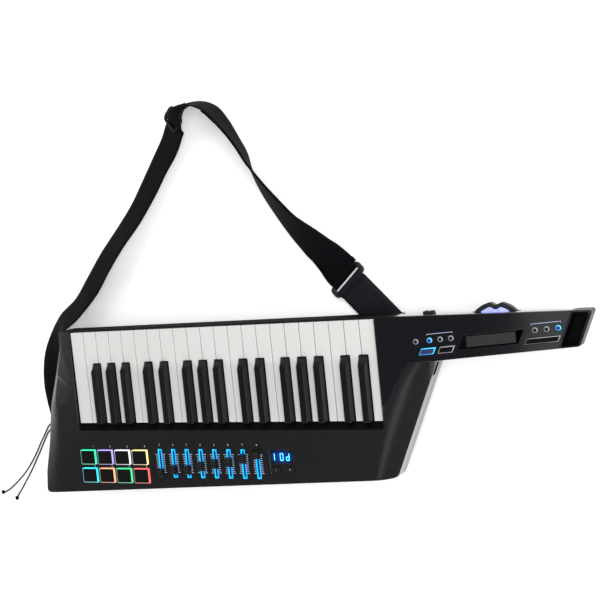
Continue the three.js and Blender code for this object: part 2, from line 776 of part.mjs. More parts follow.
function frontShell() {
  const outer = prism(bodyOutline(0), splitHeight, frontFace);
  const underPanel = prism(neckPanelOutline(0), -cutOverrun, 2 * frontFace);
  const slope = cut(aboveRightFall(), underPanel);
  const underSlope = cut(aboveRightFall(), underPanel.translate([-wall, wall, 0]));
  const leftEnd = join(aboveLeftFall(), aboveFacet());
  const hollow = cut(
    prism(bodyOutline(wall), splitHeight - cutOverrun, panelBottom),
    join(underSlope, leftEnd).translate([0, 0, -panelThickness]),
  );
  const panelSeat = prism(neckPanelOutline(-restGap), panelBottom - restGap, frontFace + cutOverrun);
  const frontSeat = block(
    cheekLine, neckCorner[0], frontEdge - wall, frontEdge + cutOverrun,
    panelBottom - restGap, frontFace + cutOverrun,
  );
  const keys = block(
    -cheekLine, cheekLine, keyBack - restGap, keyFrontReach + keySideGap,
    splitHeight - cutOverrun, frontFace + cutOverrun,
  );
  const keyslip = block(
    -cheekLine, cheekLine, keyFrontReach, frontEdge + cutOverrun,
    frontFace - keyslipDrop, frontFace + cutOverrun,
  );
  const ledgeFront = keyBack - restGap;
  const ledgeBack = ledgeFront - ledgeLength;
  const ledgeEdge = frontFace - ledgeDrop;
  const ledgeCut = sidePrism([
    [ledgeBack, frontFace],
    [ledgeFront + restGap, ledgeEdge - ledgeDrop * restGap / ledgeLength],
    [ledgeFront + restGap, frontFace + cutOverrun],
    [ledgeBack, frontFace + cutOverrun],
  ], -cheekLine, cheekLine);
  const ledge = sidePrism([
    [ledgeBack - ledgeLip, panelBottom + restGap],
    [ledgeBack - ledgeLip, panelBottom - ledgeLip],
    [ledgeFront, ledgeEdge - ledgeLip],
    [ledgeFront, ledgeEdge],
    [ledgeBack, frontFace],
    [ledgeBack - ledgeLip, frontFace],
  ], -cheekLine - restGap, cheekLine + restGap);
  const pads = eachPad((x, y) => prism(
    mirroredRect(x, y, padWidth / 2 + runningGap, padHeight / 2 + runningGap),
    panelBottom - cutOverrun, frontFace + cutOverrun,
  ));
  const slots = faderShares.map((_, fader) => prism(
    mirroredRect(
      faderPlace(fader), faderMiddle,
      faderSlotWidth / 2, (faderTravel + faderStemLength) / 2 + runningGap,
    ),
    panelBottom - cutOverrun, frontFace + cutOverrun,
  ));
  const display = prism(
    mirroredRect(displayPlace, displayMiddle, displayLength / 2, displayWidth / 2),
    frontFace - displayRecess, frontFace + cutOverrun,
  );
  const buttons = displayButtonXs.map((x) => prism(
    mirroredRect(
      x, displayButtonLine,
      displayButtonLength / 2 + runningGap, displayButtonWidth / 2 + runningGap,
    ),
    panelBottom - cutOverrun, frontFace + cutOverrun,
  ));
  const cheeks = [-cheekLine - cheekWall, cheekLine].map((x) => block(
    x, x + cheekWall, ledgeBack, frontEdge - restGap,
    panelBottom - cheekWallDrop, panelBottom + restGap,
  ));
  const portBox = portPrism(portWall).intersect(outer);
  const shell = join(cut(outer, hollow, keys, ledgeCut), ledge, ...cheeks, portBox, ...boardPosts());
  const openings = [...pads, ...slots, display, ...buttons];
  const room = [slope, leftEnd, keyslip, neckHollow(restGap), portPrism(0)];
  return cut(shell, panelSeat, frontSeat, ...room, ...openings);
}

// The connector recess near the neck, widened by a distance
function portPrism(distance) {
  const along = new THREE.Vector2(rightEdgeLean, rightEdgeLength).normalize();
  const half = portLength / 2 + distance;
  const corner = (run, depth) => [
    neckCorner[0] - along.x * run - along.y * depth,
    neckCorner[1] - along.y * run + along.x * depth,
  ];
  const depth = portDepth + distance;
  const outline = [
    corner(portFromNeck - half, -cutOverrun), corner(portFromNeck - half, depth),
    corner(portFromNeck + half, depth), corner(portFromNeck + half, -cutOverrun),
  ];
  const rise = portWidth / 2 + distance;
  return prism(outline, portMiddle - rise, portMiddle + rise);
}

const boardLeft = -keyboardHalf - boardMargin;
const boardFront = keyBack - ledgeLength - boardMargin;
const boardTop = boardBottom + boardThickness;

// Posts from the panel's underside down to the circuit board
function boardPosts() {
  const xs = [
    boardLeft + boardMargin,
    padMiddle(padColumns - 1, 0)[0] + padWidth / 2 + boardMargin,
    displayPlace - displayLength / 2 - boardMargin,
    boardLeft + boardLength - boardMargin,
  ];
  return xs.map((x) => rod(
    x, boardFront - boardMargin, boardTop + restGap, panelBottom + restGap,
    boardPostRadius, boardPostSides,
  ));
}

function circuitBoard() {
  const area = block(
    boardLeft, boardLeft + boardLength, boardFront - boardWidth, boardFront, boardBottom, boardTop,
  );
  return area.intersect(prism(bodyOutline(wall + restGap), boardBottom, frontFace));
}

// The back shell: a tray under the body and a trough along the neck

function bodyTray(distance, floor, top) {
  const foot = undercutInset * (1 - floor / undercutHeight) + distance;
  const outlines = [bodyOutline(foot), bodyOutline(distance), bodyOutline(distance)];
  return stack(outlines, [floor, undercutHeight, top]);
}

function neckTray(distance, floor, top) {
  const foot = neckUndercutInset * (1 - (floor - neckBack) / neckUndercutHeight) + distance;
  const outlines = [neckOutline(foot), neckOutline(distance), neckOutline(distance)];
  return stack(outlines, [floor, neckBack + neckUndercutHeight, top]);
}

// The room inside the neck, open towards the body and made smaller by a distance
function neckHollow(distance) {
  const room = neckTray(wall + distance, neckBack + wall, frontFace);
  return cut(room, beyondPanel(-neckEndWall));
}

// The neck's front edge at a place along it
function neckFrontAt(x) {
  const start = bodyEndFront[0] - neckRootOverlap;
  return frontEdge - neckEdgeDrop * (x - start) / (neckEndFront[0] - start);
}

const strapPin = [strapPinPlace, frontEdge - strapPinFromFront];
const tabAngle = THREE.MathUtils.degToRad(tabTurn);

// A point of the strap's tab, along it from the pin and across it
function onTab(along, across) {
  return [
    strapPin[0] + Math.cos(tabAngle) * along + Math.sin(tabAngle) * across,
    strapPin[1] + Math.sin(tabAngle) * along - Math.cos(tabAngle) * across,
  ];
}

// A rectangle on the tab between two lengths along it
function tabRect(from, to, half) {
  return [onTab(from, half), onTab(to, half), onTab(to, -half), onTab(from, -half)];
}

// The pocket in the back that the tab runs into, widened by a distance
function strapPocket(distance) {
  const half = tabWidth / 2 + strapPocketMargin + distance;
  const inner = -tabBeyondPin - strapPocketMargin - distance;
  return prism(tabRect(inner, tabLength / 2, half), -cutOverrun, strapPocketHeight + distance);
}

function neckStrapPin() {
  const headTop = strapPinLift + strapPinHeadThickness;
  return join(
    rod(...strapPin, strapPinLift, strapPocketHeight + restGap, strapPinRadius, strapPinSides),
    rod(...strapPin, strapPinLift, headTop, strapPinHead, strapPinSides),
  );
}

// A round rod along -X, from x out to the left
function leftRod(x, y, z, length, radius) {
  const geometry = new THREE.CylinderGeometry(radius, radius, length, strapPinSides);
  geometry.rotateZ(Math.PI / 2);
  geometry.translate(x - length / 2, y, z);
  return solidOf(geometry);
}

// Where the left end's curve lies at a distance from the front edge
function leftEndAt(behind) {
  const points = leftEdgeShares.map(([lean, length]) => [leftEdgeLean * lean, bodyEdgeLeft * length]);
  points.push([leftEdgeLean, bodyEdgeLeft]);
  const next = points.findIndex(([, length]) => length > behind);
  const [x0, y0] = points[next - 1];
  const [x1, y1] = points[next];
  return bodyLeft - x0 - (x1 - x0) * (behind - y0) / (y1 - y0);
}

function leftStrapPin() {
  const x = leftEndAt(leftPinBehind);
  const y = frontEdge - leftPinBehind;
  const reach = leftPinReach - strapPinHeadThickness;
  return join(
    leftRod(x + leftPinRoot, y, leftPinHeight, reach + leftPinRoot + restGap, strapPinRadius),
    leftRod(x - reach, y, leftPinHeight, strapPinHeadThickness, strapPinHead),
  );
}

const neckWallTop = panelBottom - restGap;
const trayTop = splitHeight - restGap;
const wheelCentre = [wheelPlace, neckFrontAt(wheelPlace) + wheelProud - wheelRadius];
const wheelBottom = wheelMiddle - wheelThickness / 2;
const rockerPivot = [rockerPlace, neckFrontAt(rockerPlace) - rockerPivotDepth];

function pillars() {
  const made = [];
  const span = keyboardLength - 2 * keybedEndMargin - pillarWidth;
  for (const behind of [pillarFrontFromKeys, pillarBackFromKeys]) {
    for (let column = 0; column < pillarColumns; column += 1) {
      const x = (column / (pillarColumns - 1) - 0.5) * span;
      const rect = mirroredRect(x, keyFrontReach - behind, pillarWidth / 2, pillarWidth / 2);
      made.push(prism(rect, wall - restGap, keybedPlateBottom - restGap));
    }
  }
  return made;
}

function wheelSlot() {
  const inside = neckFrontAt(wheelPlace) - wall - wheelCentre[1];
  const half = Math.sqrt(wheelRadius ** 2 - inside ** 2) + wheelSlotGap;
  const rise = wheelThickness / 2 + runningGap;
  const front = neckFrontAt(wheelPlace);
  return block(
    wheelPlace - half, wheelPlace + half, front - wall - restGap - neckEdgeDrop, front + cutOverrun,
    wheelMiddle - rise, wheelMiddle + rise,
  );
}

function rockerSlot() {
  const half = rockerLength / 2 + rockerSlotGap;
  const rise = rockerThickness / 2 + runningGap;
  const front = neckFrontAt(rockerPlace);
  return block(
    rockerPlace - half, rockerPlace + half, front - wall - restGap, front + cutOverrun,
    rockerMiddle - rise, rockerMiddle + rise,
  );
}

function backShell() {
  const belowFront = prism(bodyOutline(-restGap), trayTop, frontFace + cutOverrun);
  const neck = cut(neckTray(0, neckBack, neckWallTop), belowFront, beyondPanel(0));
  const outer = cut(join(bodyTray(0, 0, trayTop), neck), strapPocket(0));
  const bodyHollow = cut(bodyTray(wall, wall, trayTop + cutOverrun), strapPocket(wall));
  const shell = cut(outer, bodyHollow, neckHollow(0), wheelSlot(), rockerSlot());
  const axle = join(
    rod(...wheelCentre, neckBack + restGap, wheelBottom + wheelThickness + axleEnd, axleRadius, axleSides),
    rod(...wheelCentre, neckBack + restGap, wheelBottom - restGap, axleRadius + axleShoulder, axleSides),
  );
  const rockerBottom = rockerMiddle - rockerThickness / 2;
  const rockerPin = join(
    rod(...rockerPivot, neckBack + restGap, rockerBottom + rockerThickness, rockerPinRadius, rockerPinSides),
    rod(
      ...rockerPivot, neckBack + restGap, rockerBottom - restGap,
      rockerPinRadius + rockerShoulder, rockerPinSides,
    ),
  );
  const door = prism(
    rounded(
      mirroredRect(-batteryDoorShift, 0, batteryDoorLength / 2, batteryDoorWidth / 2),
      [batteryDoorRadius, batteryDoorRadius, batteryDoorRadius, batteryDoorRadius], roundSteps,
    ),
    -cutOverrun, batteryDoorDepth,
  );
  return cut(join(shell, axle, rockerPin, neckStrapPin(), leftStrapPin(), ...pillars()), door);
}

// The room beyond the lower part of the neck's end wall, which leans inwards towards the back
function beyondTaper() {
  const [x, y] = neckEndFront;
  const run = new THREE.Vector2(neckEndBack[0] - x, neckEndBack[1] - y);
  const outward = new THREE.Vector2(-run.y, run.x).normalize();
  const lean = endCapTaper / (endCapTaperTop - neckBack);
  const below = neckBack - cutOverrun;
  const section = [
    [-lean * (endCapTaperTop - below), below], [cutOverrun, below], [cutOverrun, endCapTaperTop],
    [0, endCapTaperTop],
  ];
  const rings = [-0.5, 1.5].map((share) => section.map(([across, height]) => [
    x + run.x * share + outward.x * across, y + run.y * share + outward.y * across, height,
  ]));
  return loft(rings, section);
}

// The cover at the neck's end, open at the front as a deep recess inside a rounded rim
function neckEndCap() {
  const outer = cut(neckTray(0, neckBack, frontFace).intersect(beyondPanel(restGap)), beyondTaper());
  const inside = prism(neckOutline(endCapSideWall), endCapFloor, frontFace + cutOverrun);
  const shifted = inside.translate([endCapSideWall - endCapEndWall, 0, 0]);
  const recess = inside.intersect(shifted).intersect(beyondPanel(restGap + endCapPanelWall));
  return cut(outer, recess);
}

// The key bed: a plate with the pivot edge, the stop rail and a guide post in every key
function keybed() {
  const half = keyboardHalf - keybedEndMargin;
  const top = keybedPlateBottom + keybedPlate;
  const plate = block(
    -half, half, pivotPlace - 2 * keyTail, keyFrontReach - keybedEndMargin, keybedPlateBottom, top,
  );
  const ridgeTop = keyArmBottom + pivotNotchDepth - restGap;
  const ridge = sidePrism([
    [pivotPlace - pivotRidgeWidth, top - restGap],
    [pivotPlace + pivotRidgeWidth, top - restGap],
    [pivotPlace + pivotRidgeWidth / 2, keyArmBottom - pivotNotchDepth],
    [pivotPlace, ridgeTop],
    [pivotPlace - pivotRidgeWidth / 2, keyArmBottom - pivotNotchDepth],
  ], -half, half);
  const railFront = keyFrontReach - stopRailFromFront;
  const rail = block(
    -half, half, railFront - stopRailLength, railFront,
    top - restGap, keyBottom - keyTravel - restGap,
  );
  const postAt = (x, y) => prism(
    mirroredRect(x, y, guidePostWidth / 2, guidePostLength / 2), top - restGap, keyBottom + guidePostEntry,
  );
  const posts = [];
  for (let white = 0; white < whiteKeyCount; white += 1) {
    const sides = whiteKeySides(white);
    posts.push(postAt((sides.left + sides.right) / 2, keyFrontReach - whiteGuideFromFront));
    const middle = blackKeyPlace(white);
    if (middle !== null) {
      posts.push(postAt(middle, blackKeyFront - blackGuideFromFront));
    }
  }
  return join(plate, ridge, rail, ...posts);
}

// Controls on the body

// Eight pads on one silicone mat
function padMat() {
  const top = frontFace + padRise;
  const matTop = boardTop + padTravel + restGap + padMatThickness;
  const pads = eachPad((x, y) => {
    const flat = mirroredRect(x, y, padWidth / 2, padHeight / 2);
    const crown = mirroredRect(x, y, padWidth / 2 - padTopInset, padHeight / 2 - padTopInset);
    return stack([flat, flat, crown], [matTop - restGap, top - padTopInset, top]);
  });
  const [left, front] = padMiddle(0, 0);
  const [right, back] = padMiddle(padColumns - 1, padRows - 1);
  const mat = block(
    left - padWidth / 2 - padMatMargin, right + padWidth / 2 + padMatMargin,
    back - padHeight / 2 - padMatMargin, front + padHeight / 2 + padMatMargin,
    matTop - padMatThickness, matTop,
  );
  return join(mat, ...pads);
}

// A fader's cap with its finger groove and the stem through the slot
function faderCap(fader) {
  const x = faderPlace(fader);
  const y = faderMiddle + (faderShares[fader] - 0.5) * faderTravel;
  const bottom = frontFace + runningGap;
  const halfX = faderCapWidth / 2;
  const halfY = faderCapLength / 2;
  const cap = stack(
    [
      mirroredRect(x, y, halfX, halfY),
      mirroredRect(x, y, halfX * faderCapTopShare, halfY * faderCapTopShare),
    ],
    [bottom, bottom + faderCapHeight],
  );
  const groove = block(
    x - halfX, x + halfX, y - faderGrooveWidth / 2, y + faderGrooveWidth / 2,
    bottom + faderCapHeight - faderGrooveDepth, bottom + faderCapHeight + cutOverrun,
  );
  const stem = prism(
    mirroredRect(x, y, faderStemWidth / 2, faderStemLength / 2), boardTop + restGap, bottom + restGap,
  );
  return join(cut(cap, groove), stem);
}

function displayButtons() {
  const matBottom = boardTop + buttonTravel + restGap;
  const matTop = matBottom + buttonMat;
  const keys = displayButtonXs.map((x) => prism(
    mirroredRect(x, displayButtonLine, displayButtonLength / 2, displayButtonWidth / 2),
    matTop - restGap, frontFace - displayRecess + buttonRise,
  ));
  const half = (displayButtonPitch + displayButtonLength) / 2 + buttonMatMargin;
  const mat = prism(
    mirroredRect(displayPlace, displayButtonLine, half, displayButtonWidth / 2 + buttonMatMargin),
    matBottom, matTop,
  );
  return join(mat, ...keys);
}

// Controls on the neck

// The outlines of every neck button, widened by a distance
function neckButtons(distance, bottom, top) {
  const row = (places, across, from) => places.map((x) => rod(
    x, across + (x - from) * neckRise, bottom, top, roundButtonRadius + distance, roundButtonSides,
  ));
  const modes = modeButtonPlaces.map((x) => slanted(
    x, frontEdge - modeButtonsBehind + (x - modeMiddle) * neckRise,
    modeButtonLength, modeButtonWidth, modeButtonLean, modeButtonLength * neckRise,
  ));
  const bar = slanted(
    barButtonPlace, frontEdge - barButtonBehind,
    barButtonLength, barButtonWidth, barButtonLean, barButtonLength * neckRise,
  );
  return [
    ...row(leftButtonPlaces, frontEdge - leftButtonsBehind, leftButtonPlaces[1]),
    ...row(rightButtonPlaces, frontEdge - rightButtonsBehind, rightButtonMiddle),
    ...[...modes, bar].map((outline) => prism(inset(outline, -distance), bottom, top)),
  ];
}

const recessLine = frontEdge - recessBehind;

function recessOutline(distance) {
  const outline = slanted(
    recessPlace, recessLine, recessLength, recessWidth, recessLean, recessLength * neckRise,
  );
  return inset(outline, -distance);
}

// The glossy neck panel with the ribbon controller's recess and raised strip
function neckPanel() {
  const recessBottom = frontFace - recessDepth;
  const plate = prism(neckPanelOutline(0), panelBottom, frontFace);
  const tray = prism(recessOutline(recessWall), recessBottom - recessFloor, panelBottom + restGap);
  const recess = prism(recessOutline(0), recessBottom, frontFace + cutOverrun);
  const ribbon = prism(
    slanted(recessPlace, recessLine, ribbonLength, ribbonWidth, 0, ribbonLength * neckRise),
    recessBottom - restGap, recessBottom + ribbonRise,
  );
  const holes = neckButtons(runningGap, panelBottom - cutOverrun, frontFace + cutOverrun);
  return join(cut(join(plate, tray), recess, ...holes), ribbon);
}

function neckKeypad() {
  const webTop = keypadBottom + keypadWeb;
  const first = leftButtonPlaces[0] - keypadMargin;
  const last = rightButtonPlaces[2] + keypadMargin;
  const length = last - first;
  const middle = (first + last) / 2 - keypadShift;
  const web = prism(
    slanted(middle, frontEdge - keypadBehind, length, keypadWidth, keypadLean, length * neckRise),
    keypadBottom, webTop,
  );
  return join(web, ...neckButtons(0, webTop - restGap, frontFace + buttonRise));
}

// The pitch wheel: a sector with a notch between two lobes and a smaller hub, on an upright axle
function pitchWheel() {
  const points = [];
  const lobedTurn = THREE.MathUtils.degToRad(wheelLobedTurn);
  for (let k = 0; k < wheelSteps; k += 1) {
    const angle = 2 * Math.PI * k / wheelSteps;
    const x = -wheelRadius * Math.sin(angle);
    const away = Math.abs(x - wheelNotchShift) / (wheelNotchWidth / 2);
    const dip = Math.cos(angle) > 0 && away < 1 ? (1 + Math.cos(Math.PI * away)) / 2 : 0;
    const lobed = Math.cos(angle) > Math.cos(lobedTurn);
    const radius = lobed ? wheelRadius - wheelNotchDepth * dip : wheelHubRadius;
    points.push([wheelCentre[0] - radius * Math.sin(angle), wheelCentre[1] + radius * Math.cos(angle)]);
  }
  const disc = prism(points, wheelBottom, wheelBottom + wheelThickness);
  const bore = rod(
    ...wheelCentre, wheelBottom - cutOverrun, wheelBottom + wheelThickness + cutOverrun,
    axleRadius + axleGap, axleSides,
  );
  return cut(disc, bore);
}

// The octave rocker: two finger bumps outside the neck and a hub on its pin inside
function octaveRocker() {
  const front = neckFrontAt(rockerPlace);
  const half = rockerLength / 2;
  const hub = rockerHubWidth / 2;
  const top = [];
  for (let k = 0; k <= rockerSteps; k += 1) {
    const share = 2 * k / rockerSteps - 1;
    const bump = Math.sin(Math.PI * Math.abs(share)) * rockerDip;
    top.push([rockerPlace - half * share, front + rockerProud - rockerDip + bump]);
  }
  const outline = [
    [rockerPlace - hub, front - rockerHubDepth], [rockerPlace + hub, front - rockerHubDepth],
    [rockerPlace + hub, front - rockerCapDepth], [rockerPlace + half, front - rockerCapDepth],
    ...top,
    [rockerPlace - half, front - rockerCapDepth], [rockerPlace - hub, front - rockerCapDepth],
  ];
  const bottom = rockerMiddle - rockerThickness / 2;
  const bore = rod(
    ...rockerPivot, bottom - cutOverrun, bottom + rockerThickness + cutOverrun,
    rockerPinRadius + axleGap, rockerPinSides,
  );
  return cut(prism(outline, bottom, bottom + rockerThickness), bore);
}

// Strap

// The webbing's route in plan: its free loop and the straight run into the slider
function webbingRoute() {
  const span = strapPinPlace - bodyLeft;
  const loop = webbingShares.map(([along, height, roll]) => [
    strapPin[0] + span * along, strapPin[1] + webbingLoopHeight * height, roll,
  ]);
  const end = tabLength + sliderLength / 2 + webbingEndGap;
  const flat = 180;
  const run = [end + webbingRun, end].map((along) => [...onTab(along, -webbingWidth / 2), flat]);
  return [...loop, ...run];
}

// The webbing: one long band that lies flat at both ends and tips up onto its edge between them
function webbing() {
  const path = webbingRoute();
  const route = path.map(([x, y]) => new THREE.Vector2(x, y));
  const half = webbingThickness / 2;
  const rings = path.map(([x, y, roll], k) => {
    const before = route[Math.max(k - 1, 0)];
    const after = route[Math.min(k + 1, route.length - 1)];
    const run = after.clone().sub(before).normalize();
    const turn = THREE.MathUtils.degToRad(roll);
    const side = new THREE.Vector3(run.y * Math.cos(turn), -run.x * Math.cos(turn), Math.sin(turn));
    const normal = new THREE.Vector3(-run.y * Math.sin(turn), run.x * Math.sin(turn), Math.cos(turn));
    const foot = new THREE.Vector3(x, y, webbingLift + half * Math.abs(Math.cos(turn)));
    const corner = (across, up) => foot.clone().addScaledVector(side, across).addScaledVector(normal, up);
    return [
      corner(0, -half), corner(0, half), corner(webbingWidth, half), corner(webbingWidth, -half),
    ].map((point) => point.toArray());
  });
  return loft(rings, mirroredRect(0, 0, half, half));
}

// The tab on the neck's pin with the slider that joins it to the webbing
function strapTab() {
  const half = tabWidth / 2;
  const near = tabLength - sliderLength / 2;
  const strip = prism(tabRect(-tabBeyondPin, near + sliderBar / 2, half), tabLift, tabLift + tabThickness);
  const frame = prism(
    tabRect(near, near + sliderLength, sliderWidth / 2), webbingLift, webbingLift + sliderHeight,
  );
  const slot = prism(
    tabRect(near + sliderBar, near + sliderLength - sliderBar, sliderWidth / 2 - sliderBar),
    -cutOverrun, webbingLift + sliderHeight + cutOverrun,
  );
  const hole = rod(...strapPin, -cutOverrun, strapPocketHeight, strapPinRadius + tabHoleGap, strapPinSides);
  return cut(join(strip, frame), slot, hole);
}

// A free lace with a knot at its end
function lace(route) {
  const points = route.map((point) => new THREE.Vector3(...point));
  const path = new THREE.CatmullRomCurve3(points, false, 'centripetal');
  const section = new THREE.Shape();
  for (let k = 0; k < laceSides; k += 1) {
    const angle = 2 * Math.PI * k / laceSides;
    const x = laceDiameter / 2 * Math.cos(angle);
    const y = laceDiameter / 2 * Math.sin(angle);
    if (k === 0) {
      section.moveTo(x, y);
    } else {
      section.lineTo(x, y);
    }
  }
  const cord = solidOf(new THREE.ExtrudeGeometry(section, { steps: laceSteps, extrudePath: path }));
  const knot = new THREE.SphereGeometry(knotRadius, knotSides, knotRings);
  knot.translate(...route[route.length - 1]);
  return join(cord, solidOf(knot));
}

// The assembly

const model = new THREE.Group();

function add(name, solid, colour, roughness, metalness) {
  const material = new THREE.MeshStandardMaterial({ color: colour, roughness, metalness });
  const mesh = new THREE.Mesh(geometryOf(solid), material);
  mesh.name = name;
  model.add(mesh);
}

add('back_shell', backShell(), 0x1b1c1f, 0.5, 0);
add('front_shell', frontShell(), 0x1d1e21, 0.42, 0);
add('neck_panel', neckPanel(), 0x0c0c10, 0.12, 0);
add('neck_end_cap', neckEndCap(), 0x3a3b3d, 0.25, 0);
add('keybed_chassis', keybed(), 0x6f7377, 0.4, 1);
add('main_board', circuitBoard(), 0x14502e, 0.6, 0);
add('pad_mat', padMat(), 0x202022, 0.7, 0);
faderShares.forEach((_, fader) => add(`fader_cap_${fader + 1}`, faderCap(fader), 0x0e0e0f, 0.45, 0));
add('display_buttons', displayButtons(), 0x101013, 0.5, 0);
add('neck_keypad', neckKeypad(), 0x0f0f12, 0.55, 0);
add('pitch_wheel', pitchWheel(), 0x232325, 0.6, 0);
add('octave_rocker', octaveRocker(), 0x1a1a1c, 0.6, 0);
add('strap_webbing', webbing(), 0x141416, 0.9, 0);
add('strap_tab', strapTab(), 0x141416, 0.8, 0);
add('front_lace', lace(frontLaceRoute), 0x101010, 0.8, 0);
add('back_lace', lace(backLaceRoute), 0x101010, 0.8, 0);

let blackCount = 0;
for (let white = 0; white < whiteKeyCount; white += 1) {
  add(`white_key_${String(white + 1).padStart(2, '0')}`, whiteKey(white), 0xf0eeea, 0.3, 0);
  const place = blackKeyPlace(white);
  if (place !== null) {
    blackCount += 1;
    add(`black_key_${String(blackCount).padStart(2, '0')}`, blackKey(place), 0x17181a, 0.4, 0);
  }
}

export default model;
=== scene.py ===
# A shoulder-strap keyboard with a handle neck, lying on its back on a pale floor. Metres: +X runs
# along the keys towards the neck, +Y towards the key fronts and the strap, +Z out of the front.
import math

import bmesh
import bpy
from mathutils import Matrix, Vector


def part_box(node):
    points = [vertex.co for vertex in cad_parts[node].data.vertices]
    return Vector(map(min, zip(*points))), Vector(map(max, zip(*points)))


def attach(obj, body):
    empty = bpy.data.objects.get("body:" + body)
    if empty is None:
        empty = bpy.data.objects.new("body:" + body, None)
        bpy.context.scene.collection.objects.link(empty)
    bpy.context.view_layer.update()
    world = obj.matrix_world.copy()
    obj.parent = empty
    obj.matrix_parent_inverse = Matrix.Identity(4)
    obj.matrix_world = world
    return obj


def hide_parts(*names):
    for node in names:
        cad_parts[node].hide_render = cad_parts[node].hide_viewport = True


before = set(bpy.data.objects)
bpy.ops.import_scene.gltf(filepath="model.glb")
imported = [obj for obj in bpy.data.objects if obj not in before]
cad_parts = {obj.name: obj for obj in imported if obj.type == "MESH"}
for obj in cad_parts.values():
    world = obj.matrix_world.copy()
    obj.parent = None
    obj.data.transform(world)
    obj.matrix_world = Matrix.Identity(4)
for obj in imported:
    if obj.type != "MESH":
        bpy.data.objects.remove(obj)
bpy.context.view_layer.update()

# Back shell: the tray under the keys with its sloped foot, and the trough under the neck. It is
# injection-moulded ABS with a fine spark texture, and carries both strap pins.
weld_distance = 0.00008
flat_angle = math.radians(0.6)
sharp_angle = math.radians(35)


class Shade:
    """A socket's output inside a finish, with the arithmetic of a number."""

    def __init__(self, finish, socket):
        self.finish = finish
        self.socket = socket

    def math(self, operation, first, second=0.0):
        return self.finish.node("ShaderNodeMath", {"operation": operation}, {0: first, 1: second})

    def __add__(self, other):
        return self.math("ADD", self, other)

    def __radd__(self, other):
        return self.math("ADD", other, self)

    def __sub__(self, other):
        return self.math("SUBTRACT", self, other)

    def __mul__(self, other):
        return self.math("MULTIPLY", self, other)

    def __mod__(self, other):
        return self.math("FLOORED_MODULO", self, other)

    def __gt__(self, other):
        return self.math("GREATER_THAN", self, other)

    def sine(self):
        return self.math("SINE", self)


class Finish:
    """A procedural material: one Principled shader and the nodes that feed it."""

    def __init__(self, name, **constants):
        self.material = bpy.data.materials.new(name)
        self.material.use_nodes = True
        self.tree = self.material.node_tree
        self.shader = self.tree.nodes["Principled BSDF"]
        self.feed(**constants)

    def join(self, value, socket):
        if isinstance(value, Shade):
            self.tree.links.new(value.socket, socket)
        else:
            socket.default_value = (*value, 1.0) if socket.type == "RGBA" else value

    def feed(self, **values):
        for name, value in values.items():
            self.join(value, self.shader.inputs[name.replace("_", " ")])

    def node(self, kind, settings, inputs, output=0):
        made = self.tree.nodes.new(kind)
        for name, value in settings.items():
            setattr(made, name, value)
        for name, value in inputs.items():
            self.join(value, made.inputs[name])
        return Shade(self, made.outputs[output])

    def place(self):
        return self.node("ShaderNodeTexCoord", {}, {}, output="Object")

    def along(self, axis, vector=None):
        """One axis of a vector, which is the place on the piece where none is given."""
        return self.node("ShaderNodeSeparateXYZ", {}, {0: vector or self.place()}, output=axis)

    def cloud(self, scale, detail=2.0, roughness=0.5):
        """Soft noise from 0 to 1, with scale in features a metre."""
        values = {"Vector": self.place(), "Scale": scale, "Detail": detail, "Roughness": roughness}
        return self.node("ShaderNodeTexNoise", {}, values)

    def blend(self, share, first, second):
        """The first colour at share 0 and the second at 1."""
        values = {0: share, 6: first, 7: second}
        return self.node("ShaderNodeMix", {"data_type": "RGBA"}, values, output=2)

    def relief(self, height, distance):
        values = {"Height": height, "Distance": distance, "Strength": 1.0}
        self.feed(Normal=self.node("ShaderNodeBump", {}, values))


def tone(colour, share):
    return tuple(channel * share for channel in colour)


def moulded(name, colour, roughness, grain_scale=1400, grain_height=0.000012, **constants):
    """Moulded plastic: a fine spark-eroded grain, faint tone changes and handling marks."""
    finish = Finish(name, **constants)
    patches = finish.cloud(9, 3)
    smears = finish.cloud(42, 4, 0.6)
    finish.feed(
        Base_Color=finish.blend(patches, tone(colour, 0.88), tone(colour, 1.14)),
        Roughness=roughness - 0.03 + smears * 0.06,
    )
    finish.relief(finish.cloud(grain_scale, 1), grain_height)
    return finish.material


def moulding(node, whole_faces=True):
    """The CAD node's mesh as one welded skin, its flat faces made whole."""
    skin = bmesh.new()
    skin.from_mesh(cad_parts[node].data)
    bmesh.ops.remove_doubles(skin, verts=skin.verts, dist=weld_distance)
    if whole_faces:
        bmesh.ops.dissolve_limit(skin, angle_limit=flat_angle, verts=skin.verts, edges=skin.edges)
    return skin


def edges_at(skin, height, upright=False, slack=0.00005):
    """The skin's edges that lie at a height, or that stand up to it."""
    found = []
    for edge in skin.edges:
        heights = [abs(vert.co.z - height) < slack for vert in edge.verts]
        level = abs(edge.verts[0].co.z - edge.verts[1].co.z) < slack
        if upright and any(heights) and not level or not upright and all(heights):
            if edge.is_manifold and edge.calc_face_angle() > sharp_angle:
                found.append(edge)
    return found


def rounded(skin, edges, width, steps=3):
    bmesh.ops.bevel(
        skin, geom=edges, affect="EDGES", offset=width, offset_type="OFFSET", segments=steps,
        profile=0.5, material=-1, clamp_overlap=True,
    )


def in_scene(name, data):
    item = bpy.data.objects.new(name, data)
    bpy.context.scene.collection.objects.link(item)
    return item


